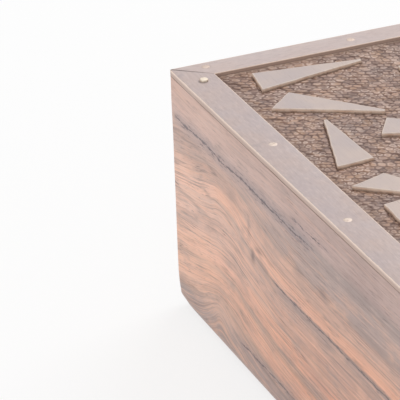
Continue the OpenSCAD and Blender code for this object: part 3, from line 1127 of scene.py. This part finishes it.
def ease_edges(mesh: bmesh.types.BMesh, width: float, shortest: float, segments: int = 2) -> None:
    """Rounds every sharp edge that isn't shorter than the shortest."""
    round_over(mesh, [e for e in mesh.edges if len(e.link_faces) == 2 and e.calc_length() > shortest
                      and e.calc_face_angle(0.0) > SHARP_ANGLE], width, segments)


def cut(mesh: bmesh.types.BMesh, place: Vector, normal: Vector, drop: bool = False) -> list[bmesh.types.BMEdge]:
    """Cuts the whole mesh along a plane.

    Args:
        mesh: The mesh to cut.
        place: A point on the plane.
        normal: The way that the plane faces.
        drop: Whether what lies beyond the plane goes.

    Returns:
        The cut's edges.
    """
    made = bmesh.ops.bisect_plane(mesh, geom=[*mesh.verts, *mesh.edges, *mesh.faces], dist=CUT_SLACK,
                                  plane_co=place, plane_no=normal, clear_outer=drop)
    return [e for e in made["geom_cut"] if isinstance(e, bmesh.types.BMEdge)]


def slice_up(mesh: bmesh.types.BMesh, axis: int, step: float) -> None:
    """Cuts the mesh's faces every step along an axis, so that it can be bent a little.

    Args:
        mesh: The mesh to cut.
        axis: The axis's number.
        step: The distance between cuts in metres.
    """
    rows = [v.co[axis] for v in mesh.verts]
    low, high = min(rows), max(rows)
    normal = Vector([1.0 if i == axis else 0.0 for i in range(3)])
    for index in range(1, int((high - low) / step)):
        cut(mesh, normal * (low + index * step), normal)


def put_in(name: str, data: bpy.types.ID) -> bpy.types.Object:
    """Puts an object of a mesh, lamp or camera in the scene.

    Args:
        name: The object's name.
        data: What it shows.

    Returns:
        The object.
    """
    made = bpy.data.objects.new(name, data)
    bpy.context.scene.collection.objects.link(made)
    return made


def mesh_data(name: str, mesh: bmesh.types.BMesh, material: bpy.types.Material) -> bpy.types.Mesh:
    """Turns a bmesh into a dressed mesh, and frees it.

    Args:
        name: The mesh's name.
        mesh: The bmesh.
        material: Its finish.

    Returns:
        The mesh.
    """
    data = bpy.data.meshes.new(name)
    mesh.to_mesh(data)
    mesh.free()
    data.materials.append(material)
    return data


def finish_piece(name: str, mesh: bmesh.types.BMesh, material: bpy.types.Material, body: str, slot: str,
                 replaced: str, smooth_angle: float = 32.0) -> bpy.types.Object:
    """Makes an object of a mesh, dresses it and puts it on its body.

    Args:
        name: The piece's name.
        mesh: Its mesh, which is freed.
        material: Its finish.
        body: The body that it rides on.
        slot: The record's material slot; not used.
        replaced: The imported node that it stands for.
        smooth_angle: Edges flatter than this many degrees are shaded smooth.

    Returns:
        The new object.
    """
    data = mesh_data(name, mesh, material)
    data.polygons.foreach_set("use_smooth", [True] * len(data.polygons))
    data.set_sharp_from_angle(angle=math.radians(smooth_angle))
    piece = put_in(name, data)
    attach(piece, body)
    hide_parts(replaced)
    log.info("%s: %d faces on %s", name, len(data.polygons), body)
    return piece


def dress_node(node: str, material: bpy.types.Material) -> None:
    """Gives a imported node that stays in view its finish.

    Args:
        node: The node.
        material: Its finish.
    """
    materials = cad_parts[node].data.materials
    materials.clear()
    materials.append(material)
    log.info("%s: packed node, dressed", node)


def towards_middle(value: float, amount: float) -> float:
    """A move by an amount towards 0 from a value."""
    return -math.copysign(amount, value)


# --------------------------------------------------------------------------------------------------------------
# The case
# --------------------------------------------------------------------------------------------------------------


@dataclass
class Case:
    """The four walls and the base, rounded by hand, with their dowels and pins."""

    finishes: Finishes
    ease: float = 0.35 * MM
    wall_edge: float = 14.0 * MM
    base_edge: float = 30.0 * MM
    slice_step: float = 4.0 * MM
    wander: float = 0.16 * MM
    wander_length: float = 16.0 * MM
    corner_reach: float = 9.0 * MM
    foot_wear: float = 1.1 * MM
    foot_height: float = 14.0 * MM

    def hand_worn(self, point: Vector) -> Vector:
        """How far a point on the outside of the case has been sanded in.

        Args:
            point: The point as it was cut.

        Returns:
            The move that wears it.
        """
        off_end, off_side = SIZES.inward(point)
        if min(off_end, off_side) > SIZES.wall * 0.5:
            return Vector()
        cloud = 0.5 + 0.5 * noise.noise(point / self.wander_length)
        near_corner = max(0.0, 1.0 - max(off_end, off_side) / self.corner_reach)
        foot = max(0.0, 1.0 - point.z / self.foot_height)
        inward = self.wander * cloud * (0.4 + near_corner) + self.foot_wear * near_corner * foot ** 2
        return Vector((towards_middle(point.x, max(0.0, 1.0 - off_end / self.corner_reach)),
                       towards_middle(point.y, max(0.0, 1.0 - off_side / self.corner_reach)), 0.0)) * inward

    def wall(self, side: str, along: int) -> None:
        """Makes the wall of a side, which runs along an axis.

        Args:
            side: The side's name.
            along: The number of the axis that it runs along.
        """
        node = side + "_wall"
        mesh = copy_of(node)
        ease_edges(mesh, self.ease, self.wall_edge)
        slice_up(mesh, along, self.slice_step)
        slice_up(mesh, 2, self.slice_step)
        for vert in mesh.verts:
            vert.co += self.hand_worn(vert.co)
        finish_piece(node + "_worn", mesh, self.finishes["rosewood_" + side], "case", "case_rosewood", node)

    def build(self) -> None:
        """Makes every piece of the case below its strips."""
        for side, along in (("front", 0), ("back", 0), ("left", 1), ("right", 1)):
            self.wall(side, along)
        base = copy_of("base_board")
        ease_edges(base, self.ease, self.base_edge)
        finish_piece("base_board_planed", base, self.finishes["base_wood"], "case", "base_wood", "base_board")
        dress_node("base_pins", self.finishes["nail_brass"])
        for corner in ("front_left", "front_right", "back_left", "back_right"):
            dress_node(corner + "_dowels", self.finishes["dowel_wood"])


# --------------------------------------------------------------------------------------------------------------
# Strips and nails
# --------------------------------------------------------------------------------------------------------------


@dataclass
class TopStrips:
    """The four mitred strips, cut and worn by hand, and the brass nails in them."""

    finishes: Finishes
    ease: float = 0.3 * MM
    shortest_edge: float = 8.0 * MM
    slice_step: float = 3.5 * MM
    wander: float = 0.16 * MM
    wander_length: float = 12.0 * MM
    mitre_gap: float = 0.55 * MM
    mitre_reach: float = 0.05
    nail_radius: float = 1.35 * MM
    nail_ease: float = 0.12 * MM
    nail_head: float = 0.5 * MM
    nail_sides: int = 28
    filed_mm: tuple[float, float] = (-0.05, 0.06)
    first_seed: int = 40

    def open_mitre(self, point: Vector) -> Vector:
        """How far a mitre's cut stands back from its neighbour, most at the outer corner.

        Args:
            point: A point of the strip as it was cut.

        Returns:
            The move that opens the mitre, none off the cut.
        """
        off_end, off_side = SIZES.inward(point)
        inward = off_end / SIZES.end_strip
        if abs(inward - off_side / SIZES.long_strip) > self.mitre_reach or inward > 1.0:
            return Vector()
        return Vector((0.0, towards_middle(point.y, self.mitre_gap * (1.0 - inward)), 0.0))

    def strip(self, node: str, body: str, along: int) -> None:
        """Makes one strip; the two at the ends have mitres that stand a little open.

        Args:
            node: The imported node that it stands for.
            body: The body that it rides on.
            along: The axis that it runs along.
        """
        mesh = copy_of(node)
        ease_edges(mesh, self.ease, self.shortest_edge, segments=3)
        slice_up(mesh, along, self.slice_step)
        across = 1 - along
        middle = sum(v.co[across] for v in mesh.verts) / len(mesh.verts)
        for vert in mesh.verts:
            if along == 1:
                vert.co += self.open_mitre(vert.co)
            cloud = noise.noise(vert.co / self.wander_length + Vector((0.0, 0.0, middle * 40)))
            vert.co[across] += towards_middle(vert.co[across] - middle, self.wander * (0.5 + 0.5 * cloud))
        material = self.finishes["greyed_strip_" + ("long", "short")[along]]
        finish_piece(node + "_waxed", mesh, material, body, "strip_wood", node)

    def nails(self, node: str, body: str, along: int, seed: int) -> None:
        """Makes a row of nails, filed flush and hardly domed.

        Args:
            node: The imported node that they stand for.
            body: The body that they ride on.
            along: The axis that the row runs along.
            seed: Sets how each one was filed.
        """
        low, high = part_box(node)
        mesh = bmesh.new()
        draw = np.random.default_rng(seed)
        for centre in self.row_centres(node):
            middle = Vector((centre.x, centre.y, (low.z + high.z) / 2 + draw.uniform(*self.filed_mm) * MM))
            made = bmesh.ops.create_cone(
                mesh, cap_ends=True, cap_tris=False, segments=self.nail_sides, radius1=self.nail_radius,
                radius2=self.nail_radius, depth=high.z - low.z, matrix=Matrix.Translation(middle))
            rim = {e for v in made["verts"] for e in v.link_edges
                   if all(end.co.z > high.z - self.nail_head for end in e.verts)}
            round_over(mesh, rim, self.nail_ease, 3, held=False)
        material = self.finishes[("nail_brass", "dull_nail_brass")[along]]
        finish_piece(node + "_filed", mesh, material, body, "pin_brass", node)

    @staticmethod
    def row_centres(node: str) -> list[Vector]:
        """The middles of a row of nails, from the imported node's loose solids.

        Args:
            node: The nails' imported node.

        Returns:
            The middles, in order.
        """
        mesh = merged_mesh(node)
        left = set(mesh.verts)
        centres = []
        while left:
            solid, edge = set(), {left.pop()}
            while edge:
                solid |= edge
                edge = {e.other_vert(v) for v in edge for e in v.link_edges} - solid
            left -= solid
            rows = [[v.co[i] for v in solid] for i in range(3)]
            centres.append(Vector([(min(r) + max(r)) / 2 for r in rows]))
        mesh.free()
        return sorted(centres, key=lambda c: (round(c.x, 4), round(c.y, 4)))

    def build(self) -> None:
        """Makes the strips and their nails."""
        sides = (("front", "case", 0), ("back", "case", 0), ("left", "case", 1), ("right", "lid", 1))
        for side, body, along in sides:
            self.strip(side + "_strip", body, along)
        for seed, (side, body, along) in enumerate(sides, self.first_seed):
            self.nails(side + "_strip_pins", body, along, seed)


# --------------------------------------------------------------------------------------------------------------
# The lid
# --------------------------------------------------------------------------------------------------------------


@dataclass(frozen=True)
class Wedge:
    """One raised wedge in mm: the middle of its blunt end, its heading, its length, its width and the end's slant."""

    x: float
    y: float
    heading: float
    length: float
    width: float
    slant: float
    tip: float = 0.5
    worn_off: float = 0.3

    def corners(self) -> list[Vector]:
        """The wedge's outline in metres, with a narrow end in place of a needle point.

        Returns:
            The outline's corners.
        """
        turn = Matrix.Rotation(math.radians(self.heading), 3, "Z")
        lean, reach = math.radians(self.slant), self.length - self.worn_off
        blunt = (self.width / 2 * math.sin(lean), -self.width / 2 * math.cos(lean))
        flat = [blunt, (reach, -self.tip), (reach, self.tip), (-blunt[0], -blunt[1])]
        return [(turn @ Vector((a, b, 0.0)) + Vector((self.x, self.y, 0.0))) * MM for a, b in flat]

    def sides(self) -> list[tuple[Vector, Vector]]:
        """The outline's sides, each from corner to corner."""
        corners = self.corners()
        return list(zip(corners, corners[1:] + corners[:1]))

    def turned_round(self) -> "Wedge":
        """The same wedge after half a turn of the lid."""
        return Wedge(-self.x, -self.y, self.heading + 180, self.length, self.width, self.slant)


LEFT_WEDGES = tuple(Wedge(*row) for row in (
    (-121, -67.8, 91, 36, 13, -10), (-104.8, -67.2, 50, 33, 12.8, -8), (-74, -47.2, 60, 33, 11.5, -3),
    (-54.9, -65.6, 171.5, 31.5, 12, 12), (-42.8, -67.5, 40, 32, 12.4, -22), (-26.7, -66, -10, 30, 9, 17),
    (-120, -13, 92, 27, 11, 4), (-106, -25, 80, 34, 12, 0), (-84, -32, 118, 22, 10, 8),
    (-60, 2, 203, 31, 12, -10), (-44, -36, 106, 30, 11, 6), (-27, -24, 84, 32, 11, -12), (-9, -36, 97, 33, 12, 0),
    (-120, 19, 86, 31, 12, 10), (-92, 28, 98, 28, 12, -8), (-80, 20, 20, 34, 12, 14), (-124, 67, -2, 30, 12, -6),
    (-72, 68, -62, 33, 12, 9), (-40, 36, 25, 30, 11, -14), (-38, 22, -16, 30, 11, 5), (-14, 70, 188, 33, 11, 12),
    (-14, 38, -72, 28, 11, -7),
))
WEDGES = LEFT_WEDGES + tuple(w.turned_round() for w in LEFT_WEDGES)


@dataclass(frozen=True)
class PunchWork:
    """How the ground was punched: round marks set close together by hand in staggered rows that wander."""

    long_pitch: float = 2.6 * MM
    row_pitch: float = 2.0 * MM
    heading: float = math.radians(63)
    row_wander: float = 0.8
    jitter: float = 0.24
    stagger: float = 0.25
    radius: float = 0.63
    sizes: tuple[float, float] = (0.74, 1.24)
    squashes: tuple[float, float] = (0.8, 1.25)
    bowls: tuple[float, float] = (-0.2, 1.1)
    level_mm: float = 0.08
    sway: float = math.radians(32)
    dish: float = 0.26 * MM
    groove: float = 0.2 * MM
    groove_width: float = 0.22 * MM
    tilt: float = 0.1 * MM
    lean: float = 0.1 * MM
    seed: int = 7
    table: tuple[int, int] = (170, 110)
    crease_width: float = 0.5 * MM
    crease_depth: float = 0.25 * MM
    rim_width: float = 0.7 * MM
    rim_height: float = 0.25 * MM
    swell: float = 0.1 * MM
    gutter_width: float = 7.0 * MM

    def rows(self, x: np.ndarray, y: np.ndarray) -> tuple[np.ndarray, np.ndarray]:
        """Counts the marks along their row and the rows up to each point; both wander.

        Args:
            x: The points' x, in metres.
            y: The points' y, in metres.

        Returns:
            Both counts at each point.
        """
        cosine, sine = math.cos(self.heading), math.sin(self.heading)
        u, v = x * cosine + y * sine, y * cosine - x * sine
        column = u / self.long_pitch + self.row_wander * np.sin(u * 78 + 1.1 * np.sin(v * 61))
        row = v / self.row_pitch + self.row_wander * np.sin(v * 83 + 1.3 * np.sin(u * 57 + 0.8))
        return column, row

    def marks(self, x: np.ndarray, y: np.ndarray) -> tuple[np.ndarray, np.ndarray, np.ndarray]:
        """The punched surface at many points.

        Args:
            x: The points' x, in metres.
            y: The points' y, in metres.

        Returns:
            At each point the height, a number from 0 to 1 for the mark that it lies in, and how far inside that
            mark's outline it is, in metres.
        """
        draw = np.random.default_rng(self.seed)
        off_x, off_y = draw.uniform(-self.jitter, self.jitter, (2, *self.table))
        size, squash = draw.uniform(*self.sizes, self.table), draw.uniform(*self.squashes, self.table)
        turn, tone = draw.uniform(-self.sway, self.sway, self.table), draw.random(self.table)
        bowl = draw.uniform(*self.bowls, self.table)
        level = draw.uniform(-self.level_mm, self.level_mm, self.table) * MM
        lean_u, lean_v = draw.uniform(-self.tilt, self.tilt, (2, *self.table))
        along, across = self.rows(x, y)
        column, row = np.floor(along).astype(int), np.floor(across).astype(int)
        first, second = np.full(x.shape, 9.0), np.full(x.shape, 9.0)
        height, shade = np.zeros_like(x), np.zeros_like(x)
        for step_x in (-1, 0, 1):
            for step_y in (-1, 0, 1):
                mark = (column + step_x) % self.table[0], (row + step_y) % self.table[1]
                shift = np.where((row + step_y) % 2 == 0, self.stagger, -self.stagger)
                du = along - (column + step_x + 0.5 + off_x[mark] + shift)
                dv = across - (row + step_y + 0.5 + off_y[mark])
                cosine, sine = np.cos(turn[mark]), np.sin(turn[mark])
                u, v = du * cosine + dv * sine, (dv * cosine - du * sine) * squash[mark]
                far = np.hypot(u, v) / size[mark]
                wins = far < first
                second = np.where(wins, first, np.minimum(second, far))
                first = np.where(wins, far, first)
                cup = (self.dish * bowl[mark] * ((far / self.radius) ** 2 - 1.0)
                       + (lean_u[mark] * u + (lean_v[mark] - self.lean) * v) / self.radius + level[mark])
                height, shade = np.where(wins, cup, height), np.where(wins, tone[mark], shade)
        inside = np.clip(np.minimum((second - first) / 2, self.radius - first), 0.0, 1.0) * self.row_pitch
        return height - self.groove * np.exp(-(inside / self.groove_width) ** 2), shade, inside

    @staticmethod
    def wedge_distance(x: np.ndarray, y: np.ndarray) -> np.ndarray:
        """Distance from each point to the nearest wedge's outline, 0 inside it.

        Args:
            x: The points' x, in metres.
            y: The points' y, in metres.

        Returns:
            The distance at each point, in metres.
        """
        nearest = np.full_like(x, 1.0)
        for wedge in WEDGES:
            inside = np.full(x.shape, -1.0)
            for first, second in wedge.sides():
                edge = (second - first).normalized()
                inside = np.maximum(inside, (x - first.x) * edge.y - (y - first.y) * edge.x)
            nearest = np.minimum(nearest, np.maximum(inside, 0.0))
        return nearest

    def carve(self, data: bpy.types.Mesh, top: float) -> None:
        """Moves a tile's top points to the punched surface and stores what the finish reads.

        Args:
            data: The tile's mesh.
            top: The height above which points belong to the top.
        """
        flat = np.empty(len(data.vertices) * 3)
        data.vertices.foreach_get("co", flat)
        points = flat.reshape(-1, 3)
        x, y, z = points.T
        height, shade, inside = self.marks(x, y)
        # The crease mask also sets where the finish paints a shadow at the wedges' feet.
        crease = np.clip(1.0 - self.wedge_distance(x, y) / self.crease_width, 0.0, 1.0)
        low, high = SIZES.field_low, SIZES.field_high
        border = np.minimum.reduce([x - low.x, high.x - x, y - low.y, high.y - y])
        ragged = 0.75 + 0.5 * np.sin(x * 900 + 1.3 * np.sin(y * 700)) * np.sin(y * 800 + 0.7)
        # The gutter mask sets where the finish darkens the ground near the strips, with dirt and painted shade.
        rim, gutter = (np.clip(1.0 - border / (width * ragged), 0.0, 1.0)
                       for width in (self.rim_width, self.gutter_width))
        swell = self.swell * np.sin(x * 71 + 0.4) * np.sin(y * 83 + 1.1)
        lifted = (height + swell) * (1 - 0.6 * rim) + self.rim_height * rim - self.crease_depth * crease
        points[:, 2] = np.where(z > top, z + lifted, z)
        data.vertices.foreach_set("co", flat)
        # The relief also sets where the finish paints shade in the hollows and highlights on the high points.
        relief = np.clip(0.65 + height / (2.6 * self.dish), 0.0, 1.0)
        stored = {"relief": relief, "outline": inside / MM, "tone": shade, "crease": crease, "rim": rim,
                  "gutter": gutter}
        for name, values in stored.items():
            layer = data.attributes.new(name, "FLOAT", "POINT")
            layer.data.foreach_set("value", values.astype(np.float32))
        data.update()


@dataclass
class CarvedLid:
    """The lid's board, its punched ground in six tiles, and its raised wedges."""

    finishes: Finishes
    punch: PunchWork = field(default_factory=PunchWork)
    spacing: float = 0.34 * MM
    tiles_x: int = 3
    tiles_y: int = 2
    tile_depth: float = 0.6 * MM
    tile_seat: float = 0.1 * MM
    board_ease: float = 0.3 * MM
    board_edge: float = 30.0 * MM
    wedge_foot: float = 0.7 * MM
    wedge_ease: float = 0.18 * MM
    wedge_shoulder: float = 0.28 * MM
    wedge_wander: float = 0.12 * MM
    wedge_step: float = 3.0 * MM
    wedge_seed: int = 12

    def finish(self, name: str, mesh: bmesh.types.BMesh, material: str, **options: float) -> bpy.types.Object:
        """Finishes a piece of the lid's board."""
        return finish_piece(name, mesh, self.finishes[material], "lid", "lid_wood", "carved_lid", **options)

    def board(self) -> None:
        """Makes the board under the carving, with the grooves' tongue all round."""
        mesh = copy_of("carved_lid")
        level = SIZES.ground - self.tile_depth + self.tile_seat
        bmesh.ops.edgeloop_fill(mesh, edges=cut(mesh, Vector((0.0, 0.0, level)), Vector(UP), drop=True))
        ease_edges(mesh, self.board_ease, self.board_edge)
        self.finish("lid_board", mesh, "lid_board_wood")

    def tile(self, column: int, row: int) -> None:
        """Makes one tile of the punched ground.

        Args:
            column: Its place along X.
            row: Its place along Y.
        """
        low, high = SIZES.field_low, SIZES.field_high
        size = Vector(((high.x - low.x) / self.tiles_x, (high.y - low.y) / self.tiles_y, 0.0))
        middle = Vector((low.x + size.x * (column + 0.5), low.y + size.y * (row + 0.5), SIZES.ground))
        spacing = self.spacing * 1.0
        mesh = bmesh.new()
        shape = Matrix.Translation(middle) @ Matrix.Diagonal((size.x / 2, size.y / 2, 1.0, 1.0))
        bmesh.ops.create_grid(mesh, x_segments=round(size.x / spacing), y_segments=round(size.y / spacing),
                              size=1.0, matrix=shape)
        skirt = bmesh.ops.extrude_edge_only(mesh, edges=[e for e in mesh.edges if e.is_boundary])["geom"]
        under = [v for v in skirt if isinstance(v, bmesh.types.BMVert)]
        bmesh.ops.translate(mesh, verts=under, vec=(0.0, 0.0, -self.tile_depth))
        bmesh.ops.edgeloop_fill(mesh, edges=[e for e in mesh.edges if e.is_boundary])
        bmesh.ops.recalc_face_normals(mesh, faces=mesh.faces)
        piece = self.finish(f"punched_ground_{column}{row}", mesh, "punched_ground", smooth_angle=80)
        self.punch.carve(piece.data, SIZES.ground - self.tile_depth / 2)

    def hand_cut(self, wedge: Wedge, draw: np.random.Generator) -> list[tuple[float, float]]:
        """A wedge's outline as the knife left it.

        Args:
            wedge: The wedge.
            draw: Where its unevenness comes from.

        Returns:
            The outline's points, in metres.
        """
        points = []
        for first, second in wedge.sides():
            cuts = max(1, round((second - first).length / self.wedge_step))
            for step in range(cuts):
                off = draw.uniform(-self.wedge_wander, self.wedge_wander, 2) * (step > 0)
                point = first.lerp(second, step / cuts)
                points.append((point.x + off[0], point.y + off[1]))
        return points

    def wedges(self) -> None:
        """Makes the raised wedges, with eased edges that wander a little."""
        mesh = bmesh.new()
        # The edge mask marks the rounded arrises, where the finish paints a highlight.
        shoulder = mesh.verts.layers.float.new("edge")
        draw = np.random.default_rng(self.wedge_seed)
        foot = SIZES.ground - self.wedge_foot
        for wedge in WEDGES:
            outline = [mesh.verts.new((*point, foot)) for point in self.hand_cut(wedge, draw)]
            raised = bmesh.ops.extrude_face_region(mesh, geom=[mesh.faces.new(outline)])["geom"]
            crown = next(f for f in raised if isinstance(f, bmesh.types.BMFace))
            bmesh.ops.translate(mesh, verts=crown.verts, vec=(0.0, 0.0, SIZES.wedge_top - foot))
            rounded = round_over(mesh, crown.edges, self.wedge_ease, 2)
            for vert in rounded:
                vert[shoulder] = 1.0
            crown = max({f for v in rounded for f in v.link_faces}, key=lambda f: len(f.verts))
            bmesh.ops.inset_region(mesh, faces=[crown], thickness=self.wedge_shoulder, use_even_offset=True)
            for vert in crown.verts:
                vert[shoulder] = 0.0
        bmesh.ops.recalc_face_normals(mesh, faces=mesh.faces)
        self.finish("raised_wedges", mesh, "polished_wedge")

    def build(self) -> None:
        """Makes the lid."""
        self.board()
        for column in range(self.tiles_x):
            for row in range(self.tiles_y):
                self.tile(column, row)
        self.wedges()


# --------------------------------------------------------------------------------------------------------------
# The works: batten, bolt and catch
# --------------------------------------------------------------------------------------------------------------


@dataclass
class Works:
    """The batten with its tilt bolt, and the release pin with its spring catch."""

    finishes: Finishes
    batten_ease: float = 0.4 * MM
    batten_edge: float = 10.0 * MM
    shank: float = 1.3 * MM
    foot_height: float = 1.4 * MM
    pin_dome: float = 0.22 * MM
    dome_reach: float = 1.6
    pin_wear: float = 0.25 * MM
    dome_steps: int = 5
    pin_sides: int = 32

    def batten(self) -> None:
        """Makes the batten with rounded edges."""
        mesh = copy_of("lid_batten")
        ease_edges(mesh, self.batten_ease, self.batten_edge)
        finish_piece("lid_batten_planed", mesh, self.finishes["batten_wood"], "lid", "case_rosewood", "lid_batten")

    def release_pin(self) -> None:
        """Makes the pin that stands proud, with a softly domed head and its foot."""
        low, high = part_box("release_pin")
        middle = Vector(((low.x + high.x) / 2, (low.y + high.y) / 2, 0.0))
        foot, foot_top, crown = (high.x - low.x) / 2, low.z + self.foot_height, high.z - self.pin_wear
        profile = [(0.0, low.z), (foot, low.z), (foot, foot_top), (self.shank, foot_top),
                   (self.shank, crown - self.pin_dome)]
        for step in range(1, self.dome_steps + 1):
            angle = math.pi / 2 * step / self.dome_steps
            profile.append((self.shank - self.pin_dome * self.dome_reach * (1 - math.cos(angle)),
                            crown - self.pin_dome * (1 - math.sin(angle))))
        profile.append((0.0, crown))
        mesh = bmesh.new()
        verts = [mesh.verts.new((middle.x + r, middle.y, z)) for r, z in profile]
        edges = [mesh.edges.new(pair) for pair in zip(verts, verts[1:])]
        bmesh.ops.spin(mesh, geom=[*verts, *edges], cent=middle, axis=UP, angle=math.tau, steps=self.pin_sides,
                       use_merge=True)
        bmesh.ops.remove_doubles(mesh, verts=mesh.verts, dist=MERGE / 2)
        bmesh.ops.recalc_face_normals(mesh, faces=mesh.faces)
        finish_piece("release_pin_turned", mesh, self.finishes["handled_brass"], "button", "pin_brass",
                     "release_pin")

    def build(self) -> None:
        """Makes the works."""
        self.batten()
        self.release_pin()
        for node in ("batten_screws", "catch_screws", "bolt_ring"):
            dress_node(node, self.finishes["screw_brass"])
        dress_node("tilt_bolt", self.finishes["bolt_brass"])
        dress_node("catch_spring", self.finishes["spring_brass"])


# --------------------------------------------------------------------------------------------------------------
# The studio
# --------------------------------------------------------------------------------------------------------------


@dataclass(frozen=True)
class Lamp:
    """A soft square lamp: where it stands, what it looks at, its size and how strongly it lights that point."""

    name: str
    stand: Triple
    aim: Triple
    size: float
    level: float

    def build(self) -> None:
        """Puts the lamp up."""
        throw = Vector(self.aim) - Vector(self.stand)
        data = bpy.data.lights.new(self.name, "AREA")
        data.size, data.energy = self.size, self.level * math.pi ** 2 * throw.length ** 2
        lamp = put_in(self.name, data)
        lamp.location, lamp.rotation_euler = self.stand, throw.to_track_quat("-Z", "Y").to_euler()


@dataclass
class Studio:
    """A white room: floor, soft light from behind and a softer one in front, and the camera."""

    sky_level: float = 0.72
    floor_size: float = 4.0
    floor_glow: float = 0.74
    lens: float = 270.0
    camera_place: Triple = (0.6582, -0.3997, 0.4551)
    camera_right: Triple = (0.3866, 0.9216, -0.0347)
    camera_up: Triple = (-0.3928, 0.1986, 0.8979)
    lamps: tuple[Lamp, ...] = (
        Lamp("back_lamp", (-0.75, 0.85, 1.15), (-0.05, 0.0, 0.08), 0.9, 0.3),
        Lamp("front_lamp", (0.5, -1.3, 0.7), (0.0, 0.0, 0.05), 1.0, 0.2),
    )

    def world(self) -> None:
        """Lights the room evenly, and shows the camera and every reflection plain white."""
        world = bpy.data.worlds.new("white_room")
        world.use_nodes = True
        wire = Wiring(world.node_tree)
        seen = wire.rays("Camera", "Glossy", "Transmission")
        wire.fill(world.node_tree.nodes["Background"].inputs, Color=WHITE,
                  Strength=self.sky_level + seen * (1.0 - self.sky_level))
        bpy.context.scene.world = world

    def floor(self) -> None:
        """Lays a pale floor that keeps the box's shadow."""
        material = bpy.data.materials.new("studio_floor")
        material.use_nodes = True
        wire = Wiring(material.node_tree)
        shader = wire.tree.nodes["Principled BSDF"]
        wire.fill(shader.inputs, Base_Color=(0.95, 0.95, 0.95, 1.0), Roughness=0.9, Specular_IOR_Level=0.0)
        glow = wire.node("Emission", WHITE)
        mix = wire.node("MixShader", wire.rays("Camera", "Glossy") * self.floor_glow,
                        *(Reading(wire, each.outputs[0]) for each in (shader, glow)))
        wire.fill(wire.tree.nodes["Material Output"].inputs, Surface=Reading(wire, mix.outputs[0]))
        mesh = bmesh.new()
        bmesh.ops.create_grid(mesh, x_segments=1, y_segments=1, size=self.floor_size / 2)
        put_in("studio_floor", mesh_data("studio_floor", mesh, material))

    def camera(self) -> None:
        """Sets the camera close to the front left corner, looking down on it."""
        right, up = Vector(self.camera_right).normalized(), Vector(self.camera_up).normalized()
        data = bpy.data.cameras.new("camera")
        data.lens, data.sensor_width, data.clip_start = self.lens, 36.0, 0.01
        camera = put_in("camera", data)
        turn = Matrix((right, up, right.cross(up))).transposed().to_4x4()
        camera.matrix_world = Matrix.Translation(self.camera_place) @ turn
        bpy.context.scene.camera = camera

    def build(self) -> None:
        """Sets up the room."""
        bpy.context.scene.view_settings.view_transform = "Standard"
        self.world()
        self.floor()
        for lamp in self.lamps:
            lamp.build()
        self.camera()


def main() -> None:
    """Builds the box's parts in order, and the studio round them."""
    logging.basicConfig(level=logging.INFO, format="%(name)s: %(message)s")
    finishes = make_finishes()
    parts: Sequence[Callable[[], None]] = (
        Case(finishes).build, TopStrips(finishes).build, CarvedLid(finishes).build, Works(finishes).build,
        Studio().build)
    for build in parts:
        build()


if __name__ == "__main__":
    main()
